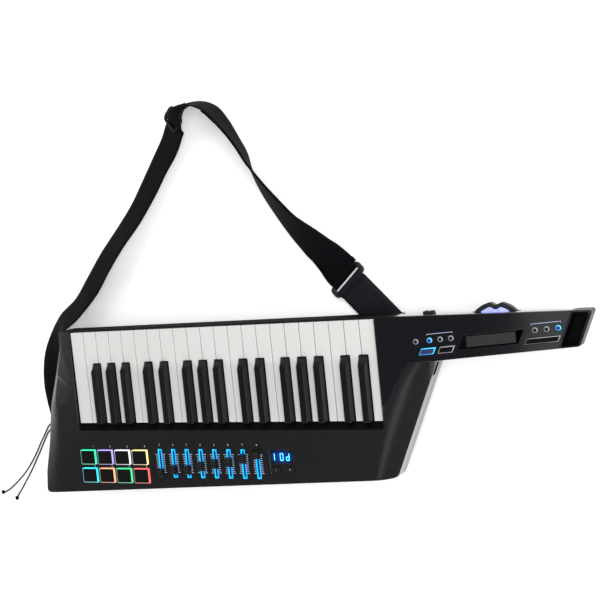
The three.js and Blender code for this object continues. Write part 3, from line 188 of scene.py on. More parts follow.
def finished(
    name, skin, materials, body="housing", stands_for=None, soften=0.0, steps=2,
):
    """A bmesh as a piece that rides on a CAD body, its sharp edges softened by a width."""
    mesh = bpy.data.meshes.new(name)
    skin.to_mesh(mesh)
    skin.free()
    for material in materials if isinstance(materials, list) else [materials]:
        mesh.materials.append(material)
    mesh.polygons.foreach_set("use_smooth", [True] * len(mesh.polygons))
    piece = in_scene(name, mesh)
    if soften:
        edge = piece.modifiers.new("Softened edges", "BEVEL")
        edge.width = soften
        edge.segments = steps
        edge.limit_method = "ANGLE"
        edge.angle_limit = sharp_angle
        edge.use_clamp_overlap = False
    piece.modifiers.new("Flat faces", "WEIGHTED_NORMAL").keep_sharp = True
    if stands_for:
        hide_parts(stands_for)
    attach(piece, body)
    return piece


body_plastic = moulded("Charcoal moulded plastic", (0.009, 0.0093, 0.0108), 0.27)
# The front wall and the ledge behind the keys take a darker, low-gloss black: painted shade.
matt_edge_painted_shade = moulded("Matt black front edge with painted shade", (0.003, 0.003, 0.0034), 0.8, Specular_IOR_Level=0.05)
# The right end and the neck's front wall: a clear coat that reflects, over a lighter grey that is
# painted reflection.
polished_end_painted_reflection = moulded(
    "Polished right end with painted reflection", (0.032, 0.032, 0.032), 0.2, Coat_Weight=1.0, Coat_Roughness=0.15,
)
shell_finishes = [body_plastic, matt_edge_painted_shade, polished_end_painted_reflection]
matt, polished = 1, 2
front_wall_reach = 0.12
neck_root = 0.29
right_end_reach = 0.2
right_end_facing = Vector((0.911, -0.413, 0))
ledge_reach = (-0.031, -0.0175)
square_on, sloping = 0.9, 0.4


def shell(node, whole_faces=True):
    """A shell's skin, with a darker matt front wall and ledge, whose darkness is painted shade, and
    a polished neck wall and right end, whose lighter grey is partly painted reflection.
    """
    skin = moulding(node, whole_faces)
    for face in skin.faces:
        middle = face.calc_center_median()
        if face.normal.y > square_on and middle.y > front_wall_reach:
            face.material_index = matt if middle.x < neck_root else polished
        elif face.normal.dot(right_end_facing) > square_on and middle.x > right_end_reach:
            # Faces turned to the right end take the lighter polished grey: partly painted
            # reflection.
            face.material_index = polished
        # The ledge behind the keys: its darker matt black paints the shade there.
        elif face.normal.y > sloping and ledge_reach[0] < middle.y < ledge_reach[1]:
            face.material_index = matt
    return skin


finished(
    "moulded_back_shell", shell("back_shell"), shell_finishes,
    stands_for="back_shell", soften=0.0008,
)

# Battery door and sockets: the door is a ribbed plate of the same plastic that snaps into the flat
# back with a sprung latch, and two metal sockets sit in the recess of the right end.
door_middle = (-0.12, 0.0)
door_size = (0.1488, 0.0688)
door_radius = 0.0074
rib_bottom, rib_top, door_top = 0.0001, 0.0005, 0.0013
latch_size = (0.012, 0.026)
latch_rim = 0.002
grip_count = 5
grip_pitch = 0.0022
grip_size = (0.0009, 0.02)


def corner_box(x, y, width, height, radius, steps=4):
    """A rectangle with round corners, anticlockwise, as points in plan."""
    points = []
    for quarter, (side, end) in enumerate([(1, 1), (-1, 1), (-1, -1), (1, -1)]):
        for step in range(steps + 1):
            angle = math.radians(90 * (quarter + step / steps))
            points.append((
                x + side * (width / 2 - radius) + radius * math.cos(angle),
                y + end * (height / 2 - radius) + radius * math.sin(angle),
            ))
    return points


def circle(x, y, radius, steps=40, start=0.0):
    turns = [start + math.tau * step / steps for step in range(steps)]
    return [(x + radius * math.cos(turn), y + radius * math.sin(turn)) for turn in turns]


def raised(skin, faces, rise):
    """Level faces made into a closed solid, by a rise."""
    risen = bmesh.ops.extrude_face_region(skin, geom=faces, use_keep_orig=True)["geom"]
    lifted = [part for part in risen if isinstance(part, bmesh.types.BMVert)]
    bmesh.ops.translate(skin, vec=(0, 0, rise), verts=lifted)
    bmesh.ops.recalc_face_normals(skin, faces=skin.faces)
    return skin


def plate(outline, bottom, top, skin=None):
    """An outline in plan raised from bottom to top, added to a skin."""
    skin = skin or bmesh.new()
    face = skin.faces.new([skin.verts.new((x, y, bottom)) for x, y in outline])
    return raised(skin, [face], top - bottom)


def ring(outer, inner, bottom, top, skin=None):
    """The frame between two outlines of as many points, raised from bottom to top."""
    skin = skin or bmesh.new()
    rows = [[skin.verts.new((x, y, bottom)) for x, y in outline] for outline in (outer, inner)]
    band = [
        skin.faces.new([rows[0][here - 1], rows[0][here], rows[1][here], rows[1][here - 1]])
        for here in range(len(outer))
    ]
    return raised(skin, band, top - bottom)


door = plate(corner_box(*door_middle, *door_size, door_radius), rib_top, door_top)
latch_x = door_middle[0] + door_size[0] / 2 - latch_size[0]
ring(
    corner_box(latch_x, 0, latch_size[0] + latch_rim, latch_size[1] + latch_rim, 0.003),
    corner_box(latch_x, 0, *latch_size, 0.002), rib_bottom, rib_top, door,
)
for step in range(grip_count):
    x = latch_x + (step - (grip_count - 1) / 2) * grip_pitch
    plate(corner_box(x, 0, *grip_size, 0.0003, 2), rib_bottom, rib_top, door)
finished("battery_door", door, body_plastic, soften=0.0002)


def set_at(place, *axes):
    """The matrix that turns X, Y and Z to three axes and moves to a place."""
    return Matrix.Translation(place) @ Matrix(axes).transposed().to_4x4()


port_middle = Vector((0.3368, 0.0507, 0.036))
port_along = Vector((0.413, 0.911, 0))
socket_pitch = 0.0092
socket_radius, socket_bore = 0.0036, 0.0018
socket_depth, socket_front = 0.0078, 0.0022
socket_metal = moulded("Nickel plated socket", (0.5, 0.5, 0.48), 0.3, 600, 0.000006, Metallic=1.0)
sockets = bmesh.new()
for side in (-0.5, 0.5):
    rims = [circle(side * socket_pitch, 0, radius, 32) for radius in (socket_radius, socket_bore)]
    ring(*rims, -socket_depth, -socket_front, sockets)
bmesh.ops.transform(
    sockets, verts=sockets.verts,
    matrix=set_at(port_middle, port_along, Vector((0, 0, 1)), right_end_facing),
)
bmesh.ops.recalc_face_normals(sockets, faces=sockets.faces)
finished("end_sockets", sockets, socket_metal, soften=0.0002)

# Key bed and main board: the pressed aluminium sheet with the pivot edge, stop rail and guide
# posts, and the glass-fibre board that carries the pads, the faders and the display.
streak_scale = (12, 900, 900)
pressed = Finish("Brushed aluminium sheet", Metallic=1.0)
streaks = pressed.node("ShaderNodeTexNoise", {}, {
    "Vector": pressed.node("ShaderNodeVectorMath", {"operation": "MULTIPLY"}, {
        0: pressed.place(), 1: streak_scale,
    }),
    "Scale": 1.0, "Detail": 2.0,
})
pressed.feed(
    Base_Color=pressed.blend(streaks, (0.36, 0.37, 0.38), (0.52, 0.53, 0.54)),
    Roughness=0.28 + streaks * 0.2,
)
pressed.relief(streaks, 0.00001)
etched = Finish("Green solder mask", Roughness=0.35)
tracks = etched.node("ShaderNodeTexBrick", {"offset": 0.5}, {
    "Vector": etched.place(), "Scale": 160.0, "Mortar Size": 0.04, "Mortar Smooth": 0.2,
    "Color1": (0.008, 0.05, 0.022), "Color2": (0.01, 0.06, 0.028), "Mortar": (0.02, 0.11, 0.045),
})
etched.feed(Base_Color=tracks)
for node, material in {"keybed_chassis": pressed.material, "main_board": etched.material}.items():
    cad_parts[node].data.materials.clear()
    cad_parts[node].data.materials.append(material)

# White keys: hollow caps of glossy off-white acrylic with small round edges, each on its own
# arm that rocks on the pivot edge behind the ledge.
acrylic = Finish("Off-white key acrylic")
acrylic.feed(
    Base_Color=acrylic.blend(acrylic.cloud(14, 2), (0.68, 0.668, 0.65), (0.72, 0.71, 0.695)),
    Roughness=0.19 + acrylic.cloud(30, 3) * 0.12,
)
acrylic.relief(acrylic.cloud(160, 2), 0.000006)


def key_caps(kind, count, top, radius, material):
    for number in range(1, count + 1):
        node = f"{kind}_key_{number:02d}"
        skin = moulding(node)
        rounded(skin, edges_at(skin, top, upright=True) + edges_at(skin, top), radius)
        finished(f"moulded_{node}", skin, material, node, stands_for=node)


key_caps("white", count=22, top=0.056, radius=0.0009, material=acrylic.material)

# Black keys: tapered hollow caps of satin black plastic with a long front slope, finely
# textured so that fingers hold.
satin_black = moulded(
    "Satin black key plastic", (0.004, 0.004, 0.0042), 0.34, 1800, 0.000014,
    Specular_IOR_Level=0.3,
)
key_caps("black", count=15, top=0.0664, radius=0.0011, material=satin_black)

# Front shell: the moulded top with the cheeks, the ledge behind the keys, the openings for pads,
# faders and display, and the rounded fall to the right end.
finished(
    "moulded_front_shell", shell("front_shell", whole_faces=False), shell_finishes,
    stands_for="front_shell", soften=0.0005,
)

# Drum pads: eight soft dark caps on translucent silicone bodies, moulded on one mat and lit
# from the board below, each in its own colour.
front_face = 0.06
pad_columns, pad_rows = 4, 2
pad_pitch = (0.0322, 0.0288)
pad_size = (0.0274, 0.023)
first_pad = (-0.2476, -0.0709)
pad_light_bottom = 0.0585
pad_light_top = 0.0625
pad_cap_top = 0.0634
pad_border = 0.0011
pad_radius = 0.0012
pad_colours = [
    (0.03, 0.85, 0.42), (0.42, 0.33, 0.95), (0.85, 0.9, 1.0), (1.0, 0.86, 0.3),
    (0.02, 0.8, 0.95), (1.0, 0.42, 0.22), (0.04, 0.8, 0.3), (1.0, 0.13, 0.13),
]


def cut_down(skin, height):
    """Leaves what lies below a height, closed by flat faces."""
    parts = [*skin.verts, *skin.edges, *skin.faces]
    cut = bmesh.ops.bisect_plane(
        skin, geom=parts, plane_co=(0, 0, height), plane_no=(0, 0, 1), clear_outer=True,
    )["geom_cut"]
    rims = [part for part in cut if isinstance(part, bmesh.types.BMEdge)]
    bmesh.ops.holes_fill(skin, edges=rims)
    return skin


def edge_lit(name, colour, middle, half, brightness, pale=(0.55, 0.55, 0.55), painted_shade_factor=0.42):
    """A lit frame whose glow is full right of and above its middle, as a painted highlight, and
    paler on the other sides, as painted shade.
    """
    finish = Finish(name, Roughness=0.35, Emission_Strength=brightness)
    right, up = [(finish.along(axis) - middle[axis]) * (0.5 / half[axis]) for axis in (0, 1)]
    share = finish.node(
        "ShaderNodeMath", {"operation": "ADD", "use_clamp": True}, {0: (right + up) * 1.6, 1: 0.5},
    )
    # The paler, dimmer colour of the left and lower sides is painted shade.
    painted_shade_colour = tuple((own * 0.3 + grey * 0.7) * painted_shade_factor for own, grey in zip(colour, pale))
    finish.feed(
        Base_Color=tone(colour, 0.4),
        Emission_Color=finish.blend(share * 0.9 + finish.cloud(160, 2) * 0.1, painted_shade_colour, colour),
    )
    return finish.material


silicone = moulded(
    "Dark pad silicone", (0.003, 0.003, 0.0032), 0.55, 900, 0.00002, Specular_IOR_Level=0.12,
)
finished(
    "pad_mat_base", cut_down(moulding("pad_mat"), pad_light_bottom), silicone, "pad_mat",
    stands_for="pad_mat",
)
pad_places = [
    (first_pad[0] + column * pad_pitch[0], first_pad[1] - row * pad_pitch[1])
    for row in range(pad_rows) for column in range(pad_columns)
]
for number, (place, colour) in enumerate(zip(pad_places, pad_colours), 1):
    lit = plate(corner_box(*place, *pad_size, pad_radius), pad_light_bottom, pad_light_top)
    rounded(lit, edges_at(lit, pad_light_top), width=0.0003, steps=2)
    half = [side / 2 for side in pad_size]
    # The pad's lamp glow is painted brighter on its right and upper sides and paler on the others,
    # as highlight and shade.
    material = edge_lit(f"Pad light {number}", colour, place, half, brightness=1.5)
    finished(f"pad_light_{number}", lit, material, "pad_mat")
    size = [side - 2 * pad_border for side in pad_size]
    cap = plate(corner_box(*place, *size, pad_radius), pad_light_top, pad_cap_top)
    rounded(cap, edges_at(cap, pad_cap_top), width=0.0006)
    finished(f"pad_cap_{number}", cap, silicone, "pad_mat")

# Faders: eight slide controls. A lit light guide frames each slot, printed ticks stand on both
# sides, and a ribbed black cap rides on the slider's stem.
fader_count = 8
fader_pitch = 0.0242
first_fader = -0.1141
fader_middle = -0.08
fader_frame, fader_slot, fader_lining = (0.0073, 0.0442), (0.003, 0.039), (0.0025, 0.0384)
frame_radius, slot_radius = 0.0008, 0.0005
fader_frame_top = 0.0603
tick_count = 11
tick_pitch = 0.0028
tick_size = (0.0036, 0.0006)
tick_from_middle = 0.0058
end_tick_extra = 0.0012
ink_height = 0.00004
lining_bottom = 0.0572
cap_plastic = moulded("Black fader cap", (0.004, 0.004, 0.0045), 0.45, 1500, 0.000012)
ink = Finish("Pale grey print", Roughness=0.5)
ink.feed(Base_Color=ink.blend(ink.cloud(900, 2), (0.6, 0.61, 0.62), (0.8, 0.81, 0.83)))


def fader_x(number):
    return first_fader + (number - 1) * fader_pitch


def fader_light(name, left, right):
    """Light guide plastic that is one colour left of each slot and another right of it."""
    finish = Finish(name, Roughness=0.35, Emission_Strength=1.0)
    column = (finish.along(0) - (first_fader - fader_pitch / 2)) % fader_pitch
    side = column > fader_pitch / 2
    finish.feed(
        Base_Color=tone(left, 0.4),
        Emission_Color=finish.blend(side * 0.8 + finish.cloud(220, 2) * 0.2, left, right),
    )
    return finish.material


guide_light = fader_light("Fader light guide", (0.0, 0.62, 1.0), (0.02, 0.24, 0.9))
lining_light = fader_light("Fader slot lining", (0.0, 0.012, 0.2), (0.0, 0.006, 0.1))
linings = bmesh.new()
for number in range(1, fader_count + 1):
    x = fader_x(number)
    slot_line = corner_box(x, fader_middle, *fader_slot, slot_radius)
    frame_line = corner_box(x, fader_middle, *fader_frame, frame_radius)
    guide = ring(frame_line, slot_line, front_face, fader_frame_top)
    finished(f"fader_light_{number}", guide, guide_light, soften=0.0001)
    lining_line = corner_box(x, fader_middle, *fader_lining, slot_radius)
    ring(slot_line, lining_line, lining_bottom, front_face, linings)
    node = f"fader_cap_{number}"
    finished(
        f"moulded_{node}", moulding(node), cap_plastic, node,
        stands_for=node, soften=0.0004,
    )
finished("fader_slot_linings", linings, lining_light)
ticks = bmesh.new()
# The print is no lamp: its faint blue emission is a painted glow.
tick_ink_painted_glow = Finish("Bluish white print with painted glow", Roughness=0.5, Emission_Strength=0.3)
tick_ink_painted_glow.feed(
    Base_Color=tick_ink_painted_glow.blend(tick_ink_painted_glow.cloud(900, 2), (0.4, 0.45, 0.6), (0.6, 0.66, 0.85)),
    Emission_Color=(0.4, 0.6, 1.0),
)
for number in range(1, fader_count + 1):
    for step in range(tick_count):
        y = fader_middle + (step - (tick_count - 1) / 2) * tick_pitch
        for side in (-1, 1):
            length = tick_size[0] + (end_tick_extra if step in (0, tick_count - 1) else 0)
            x = fader_x(number) + side * (tick_from_middle + length / 2 - tick_size[0] / 2)
            mark = corner_box(x, y, length, tick_size[1], tick_size[1] / 4, 1)
            plate(mark, front_face, front_face + ink_height, ticks)
finished("fader_ticks", ticks, tick_ink_painted_glow.material)


def printed(name, marks, size, material, body="housing"):
    """Plain characters printed on the front, each with its middle at a place."""
    skin = bmesh.new()
    for text, x, y, z in marks:
        curve = bpy.data.curves.new(name, "FONT")
        curve.body = text
        curve.size = size
        curve.extrude = ink_height / 2
        curve.align_x = "CENTER"
        curve.align_y = "CENTER"
        writing = bpy.data.objects.new(name, curve)
        mesh = bpy.data.meshes.new_from_object(writing)
        mesh.transform(Matrix.Translation((x, y, z + ink_height / 2)))
        skin.from_mesh(mesh)
        bpy.data.objects.remove(writing)
        bpy.data.meshes.remove(mesh)
    finished(name, skin, material, body)


label_size = 0.0042
pad_label_shift = 0.0098
pad_label_rises = (0.0166, 0.0139)
printed("pad_numbers", [
    (str(number), x + pad_label_shift, y + pad_label_rises[(number - 1) // pad_columns], front_face)
    for number, (x, y) in enumerate(pad_places, 1)
], label_size, ink.material)
fader_label_y = -0.0515
printed("fader_numbers", [
    (str(number), fader_x(number), fader_label_y, front_face)
    for number in range(1, fader_count + 1)
], label_size, ink.material)

# Display: a dark window over a lamp of three figures in a shallow recess, with two rubber
# buttons below it that step up and down.
display_middle = (0.0952, -0.0768)
recess_floor = 0.0592
window_size, window_radius = (0.0372, 0.0195), 0.001
window_shift = 0.0078
window_top = 0.0598
digit_height = 0.0114
digit_width = 0.0058
digit_pitch = 0.0098
bar_width = 0.0013
bar_inset = 1.15
digit_top = 0.0599
window_middle = (display_middle[0], display_middle[1] + window_shift)
painted_glow_reach = (0.023, 0.013, 0.013)
# The window glass is no lamp: its blue emission, brightest at its middle, is a painted glow round
# the lit figures.
window_glass = Finish("Smoked display window with painted glow", Roughness=0.12, Emission_Strength=0.5)
painted_glow = window_glass.node("ShaderNodeTexGradient", {"gradient_type": "SPHERICAL"}, {
    "Vector": window_glass.node("ShaderNodeMapping", {"vector_type": "TEXTURE"}, {
        "Vector": window_glass.place(), "Location": (*window_middle, window_top),
        "Scale": painted_glow_reach,
    }),
})
window_glass.feed(
    Base_Color=(0.004, 0.005, 0.008),
    Emission_Color=window_glass.blend(painted_glow, (0.0, 0.0, 0.0), (0.0, 0.1, 0.6)),
)
window_line = corner_box(*window_middle, *window_size, window_radius)
window = plate(window_line, recess_floor, window_top)
finished("display_window", window, window_glass.material, soften=0.0002)
segments_of = {"0": "abcdef", "1": "ef", "d": "bcdeg"}
segment_places = {
    "a": (0, 1, True), "b": (1, 0.5, False), "c": (1, -0.5, False), "d": (0, -1, True),
    "e": (-1, -0.5, False), "f": (-1, 0.5, False), "g": (0, 0, True),
}
digits = bmesh.new()
for place, figure in enumerate("10d"):
    for segment in segments_of[figure]:
        across, up, level = segment_places[segment]
        x = window_middle[0] + (place - 1) * digit_pitch + across * (digit_width - bar_width) / 2
        y = window_middle[1] + up * (digit_height - bar_width) / 2
        half = bar_width / 2
        run = (digit_width if level else digit_height / 2) / 2 - half * bar_inset
        tip = run + half
        shape = [(-run, -half), (run, -half), (tip, 0), (run, half), (-run, half), (-tip, 0)]
        turned = [(x + a, y + b) if level else (x - b, y + a) for a, b in shape]
        plate(turned, window_top, digit_top, digits)


def glowing(name, colour, brightness, dimmed):
    """Lit translucent plastic, dimmed in places because the lamps under it are uneven."""
    finish = Finish(name, Roughness=0.35, Emission_Strength=brightness)
    finish.feed(
        Base_Color=tone(colour, 0.5),
        Emission_Color=finish.blend(finish.cloud(160, 2), tone(colour, dimmed), colour),
    )
    return finish.material


blue_lamp = glowing("Blue lamp segments", (0.05, 0.36, 1.0), 4.0, 0.9)
finished("display_digits", digits, blue_lamp)
button_rubber = moulded(
    "Black button rubber", (0.003, 0.003, 0.0034), 0.55, 1200, 0.000014, Specular_IOR_Level=0.3,
)
finished(
    "moulded_display_buttons", moulding("display_buttons"), button_rubber, "display_buttons",
    stands_for="display_buttons", soften=0.0004,
)
button_line = -0.088
button_top = 0.0604
sign_shift = 0.0116
sign_size = 0.005
printed("display_button_signs", [
    (sign, display_middle[0] + shift, button_line, button_top)
    for sign, shift in (("-", -sign_shift), ("+", sign_shift))
], sign_size, ink.material, "display_buttons")

# Neck panel: the polished black sheet from beside the keys out along the neck, with the ribbon
# controller's raised strip in its recess.
piano_black = Finish("Polished black panel")
piano_black.feed(
    Base_Color=piano_black.blend(
        piano_black.cloud(7, 2), (0.005, 0.005, 0.0065), (0.0075, 0.0075, 0.01),
    ),
    Roughness=0.07 + piano_black.cloud(38, 4, 0.6) * 0.07,
)
piano_black.relief(piano_black.cloud(55, 2), 0.00002)
# Deep, low-gloss black: the own black of two buttons, and painted shade on the floors and walls of
# recesses.
button_black_and_recess_shade = moulded(
    "Deep black buttons and painted recess shade", (0.0015, 0.0015, 0.002), 0.55, Specular_IOR_Level=0.12,
)
ribbon_middle = (0.427, 0.0912)
ribbon_size = (0.0685, 0.0145)
ribbon_top, film_top = 0.0584, 0.0587
ribbon_room = (0.054, 0.022)
panel_rim = 0.0595
neck_rise = 0.06
panel = moulding("neck_panel")
# Faces low in the ribbon's recess take the deep black: painted shade.
for face in panel.faces:
    middle = face.calc_center_median()
    away = [abs(middle[axis] - ribbon_middle[axis]) < ribbon_room[axis] for axis in (0, 1)]
    if all(away) and middle.z < panel_rim:
        face.material_index = 1
finished(
    "polished_neck_panel", panel, [piano_black.material, button_black_and_recess_shade],
    stands_for="neck_panel", soften=0.0004,
)


def leaning(x, y, length, width, lean):
    """A slanted four-sided outline: its upper side lies further right, its right end higher."""
    rise = length * neck_rise
    return [
        (x - length / 2 - lean / 2, y - width / 2 - rise / 2),
        (x + length / 2 - lean / 2, y - width / 2 + rise / 2),
        (x + length / 2 + lean / 2, y + width / 2 + rise / 2),
        (x - length / 2 + lean / 2, y + width / 2 - rise / 2),
    ]


ribbon_film = moulded("Satin sensor film", (0.02, 0.02, 0.021), 0.34, 700, 0.000008)
film = plate(leaning(*ribbon_middle, *ribbon_size, 0), ribbon_top, film_top)
finished("ribbon_film", film, ribbon_film, soften=0.0001)

# Neck buttons: round and slanted rubber keys on one keypad. A translucent sleeve round each shows
# its state: three of them are lit blue, and the grey glow of the others is a painted highlight.
keypad_cut = 0.0592
sleeve_top = 0.0609
round_cap_top = 0.0612
round_radius = 0.0036
cap_radius = 0.0027


def neck_row(x, y, *steps):
    """Places at steps from one place, in a row that rises with the neck."""
    return [(x + step, y + step * neck_rise) for step in steps]


left_buttons = neck_row(0.3407, 0.0931, -0.0201, 0, 0.0155, 0.031)
right_buttons = neck_row(0.5042, 0.1022, -0.0156, 0, 0.0156)
lit_round = [left_buttons[1], right_buttons[2]]
mode_buttons = neck_row(0.3499, 0.079, -0.0137, 0.0137)
mode_shape = {"size": (0.021, 0.0092), "lean": 0.0046, "wall": 0.0011}
bar_place = (0.4976, 0.088)
bar_shape = {"size": (0.045, 0.0074), "lean": 0.0042, "wall": 0.0005}
blue_shine = glowing("Blue lit button", (0.0, 0.02, 0.24), 1.0, 0.6)
faint_shine = glowing("Faintly lit button", (0.025, 0.025, 0.1), 1.0, 0.7)
finished(
    "neck_keypad_base", cut_down(moulding("neck_keypad"), keypad_cut), button_rubber,
    "neck_keypad", stands_for="neck_keypad",
)


def button(sleeve_name, cap_name, place, outer, inner, half, light, rubber, edge, sleeve_edge=0.0):
    """A rubber cap in a sleeve whose glow is painted brightest on its right and outer side, as a
    highlight.
    """
    sleeve = ring(outer, inner, keypad_cut, sleeve_top)
    if sleeve_edge:
        rounded(sleeve, edges_at(sleeve, sleeve_top), sleeve_edge, steps=2)
    colour, brightness = light
    material = edge_lit(f"{sleeve_name} light", colour, place, half, brightness, colour, 0.12)
    finished(sleeve_name, sleeve, material, "neck_keypad")
    cap = plate(inner, keypad_cut, round_cap_top)
    rounded(cap, edges_at(cap, round_cap_top), edge, steps=4 if sleeve_edge else 3)
    finished(cap_name, cap, rubber, "neck_keypad")


for number, place in enumerate(left_buttons + right_buttons, 1):
    lit = place in lit_round
    button(
        f"round_sleeve_{number}", f"round_button_{number}", place,
        circle(*place, round_radius), circle(*place, cap_radius), [round_radius] * 2,
        # Unlit sleeves glow pale grey: a painted highlight.
        ((0.1, 0.6, 1.0), 1.6) if lit else ((0.5, 0.52, 0.55), 0.7),
        blue_shine if lit else button_rubber, edge=0.0007, sleeve_edge=0.0002,
    )
# The grey glow of the right mode sleeve and of the bar's sleeve is a painted highlight.
slanted_buttons = {
    "mode_left": (mode_buttons[0], mode_shape, ((0.03, 0.6, 1.0), 1.4), faint_shine),
    "mode_right": (mode_buttons[1], mode_shape, ((0.45, 0.46, 0.5), 0.6), button_black_and_recess_shade),
    "bar": (bar_place, bar_shape, ((0.5, 0.52, 0.55), 0.9), button_black_and_recess_shade),
}
for name, (place, shape, light, rubber) in slanted_buttons.items():
    size, lean = shape["size"], shape["lean"]
    share = [1 - 2 * shape["wall"] / side for side in size]
    button(
        f"{name}_sleeve", f"{name}_button", place, leaning(*place, *size, lean),
        leaning(*place, size[0] * share[0], size[1] * share[1], lean * share[1]),
        [side / 2 for side in size], light, rubber, edge=0.0004,
    )
bracket_away, bracket_drop = 0.0085, 0.0016
bracket_half_width = 0.00025


def bracket(first, last, beyond):
    """A printed line over a row of buttons and past its ends, with a short drop at each end."""
    lift = Vector((-neck_rise, 1)).normalized()
    start, end = Vector(first) + lift * bracket_away, Vector(last) + lift * bracket_away
    run = (end - start).normalized() * beyond
    start, end = start - run, end + run
    drop = lift * bracket_drop
    skin = bmesh.new()
    for a, b in [(start, end), (start, start - drop), (end, end - drop)]:
        side = Vector(((a - b).y, (b - a).x)).normalized() * bracket_half_width
        corners = [tuple(corner) for corner in (a - side, b - side, b + side, a + side)]
        plate(corners, front_face, front_face + ink_height, skin)
    return skin


for side, row, beyond in [("left", left_buttons[1:], 0.003), ("right", right_buttons, 0.0042)]:
    mark = bracket(row[0], row[-1], beyond)
    finished(f"{side}_button_bracket", mark, tick_ink_painted_glow.material)

# Neck end cover: a thick moulded grey cap round a deep recess, pushed over the neck's open end; the
# recess's walls and floor are painted deep black for the shade in it. The side that meets the
# polished panel is polished like it.
cap_grey = moulded("Satin grey cover", (0.014, 0.014, 0.0155), 0.42, Specular_IOR_Level=0.3)
cap_seam = Vector((0.5417, 0.1248, 0))
cap_seam_facing = Vector((0.919, -0.394, 0))
cap_rim_bottom = 0.055
end_cap = moulding("neck_end_cap")
bmesh.ops.bisect_plane(
    end_cap, geom=[*end_cap.verts, *end_cap.edges, *end_cap.faces],
    plane_co=cap_seam, plane_no=cap_seam_facing,
)
cap_middle = (Vector(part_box("neck_end_cap")[0]) + Vector(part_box("neck_end_cap")[1])) / 2
# Faces inside the cover's recess and on its floor take the deep black: painted shade.
for face in end_cap.faces:
    middle = face.calc_center_median()
    inward = (middle - cap_middle).xy.dot(face.normal.xy) < 0
    level = face.normal.z > square_on
    floor = level and middle.z < cap_rim_bottom
    beside_panel = level and (middle - cap_seam).dot(cap_seam_facing) < 0
    face.material_index = 1 if inward or floor else 2 if beside_panel else 0
finished(
    "moulded_end_cap", end_cap, [cap_grey, button_black_and_recess_shade, piano_black.material],
    stands_for="neck_end_cap", soften=0.0007,
)

# Pitch wheel: a rubber tyre with two lobes and a notch between them, round a clear acrylic disc
# that is lit blue from its edge, on an axle that stands in the neck.
wheel_middle = (0.431, 0.099919)
wheel_radius = 0.0395
wheel_hub_radius = 0.025
wheel_lobed_turn = math.radians(88)
wheel_bottom, wheel_top = 0.035, 0.045
wheel_notch = (0.0016, 0.0095, 0.0042)
tyre_width = 0.0062
hub_tyre_width = 0.0035
wheel_steps = 144
disc_gap = 0.0002
disc_bottom, disc_top = 0.036, 0.0435
axle_bore = 0.0033


def wheel_outline(inwards, inwards_at_hub):
    """The wheel's edge, moved inwards, from the top of the notch round to the left."""
    points = []
    for step in range(wheel_steps):
        turn = math.tau * step / wheel_steps
        away = abs(wheel_radius * math.sin(turn) + wheel_notch[0]) / wheel_notch[1]
        dip = (1 + math.cos(math.pi * away)) / 2 if away < 1 and math.cos(turn) > 0 else 0
        reach = wheel_radius - wheel_notch[2] * dip - inwards
        if math.cos(turn) <= math.cos(wheel_lobed_turn):
            reach = wheel_hub_radius - inwards_at_hub
        points.append((
            wheel_middle[0] - reach * math.sin(turn), wheel_middle[1] + reach * math.cos(turn),
        ))
    return points


tyre_rubber = moulded("Grey-black tyre rubber", (0.008, 0.008, 0.009), 0.5, 900, 0.00002)
tyre = ring(wheel_outline(0, 0), wheel_outline(tyre_width, hub_tyre_width), wheel_bottom, wheel_top)
rounded(tyre, edges_at(tyre, wheel_top) + edges_at(tyre, wheel_bottom), width=0.0014, steps=4)
finished(
    "wheel_tyre", tyre, tyre_rubber, "pitch_wheel", stands_for="pitch_wheel",
)
disc = ring(
    wheel_outline(tyre_width + disc_gap, hub_tyre_width + disc_gap),
    circle(*wheel_middle, axle_bore, wheel_steps, math.pi / 2), disc_bottom, disc_top,
)
lit_disc = Finish("Lit clear disc", Roughness=0.15, Emission_Strength=1.25)
lit_disc.feed(
    Base_Color=(0.1, 0.12, 0.4),
    Emission_Color=lit_disc.blend(lit_disc.cloud(260, 3), (0.01, 0.03, 0.9), (0.72, 0.78, 1.0)),
)
finished("wheel_disc", disc, lit_disc.material, "pitch_wheel", soften=0.0002)

# Octave rocker: a two-way key with a finger dip, moulded in plastic with a rubber coat. It tilts
# on a pin just inside the neck's wall.
rocker_rubber = moulded("Rocker rubber", (0.014, 0.014, 0.016), 0.5, 1000, 0.00002)
finished(
    "moulded_rocker", moulding("octave_rocker"), rocker_rubber, "octave_rocker",
    stands_for="octave_rocker", soften=0.0006, steps=3,
)

# Strap: 50 mm woven nylon webbing that lies flat at both ends and stands on its edge between
# them, as a strap does that springs out of a fold. Its route is its lower edge in plan, and its
# roll in degrees.
webbing_width = 0.05
webbing_thickness = 0.0016
webbing_lift = 0.0003
webbing_steps = 300
near_step = 0.004
webbing_route = [
    (-0.3581, -0.0199, 0), (-0.363, 0.008, 0), (-0.3652, 0.036, 0), (-0.3619, 0.066, 4),
    (-0.3532, 0.094, 12), (-0.3369, 0.1219, 24), (-0.3147, 0.1492, 43), (-0.2821, 0.1731, 41),
    (-0.2539, 0.2058, 33), (-0.2234, 0.242, 34), (-0.1887, 0.2774, 37), (-0.1561, 0.3126, 34),
    (-0.1295, 0.3487, 30), (-0.1067, 0.3808, 29), (-0.0877, 0.4077, 26), (-0.0752, 0.4302, 26),
    (-0.0611, 0.4469, 33), (-0.0383, 0.4558, 57), (-0.0095, 0.4558, 81), (0.0144, 0.4455, 86),
    (0.0312, 0.4244, 92), (0.0448, 0.3988, 100), (0.0573, 0.3729, 105), (0.0638, 0.3439, 116),
    (0.0763, 0.3136, 124), (0.0937, 0.2832, 131), (0.1138, 0.2519, 139), (0.1355, 0.2225, 155),
    (0.155, 0.1966, 170), (0.1674, 0.1765, 180), (0.1753, 0.1678, 180),
]
webbing_length = 0.983
weft = 0.0016
warp = 0.0022
route_steps = len(webbing_route) - 1
glide_share = 15.7 / route_steps
glide_reach = 0.05
glide_lift = 0.0034
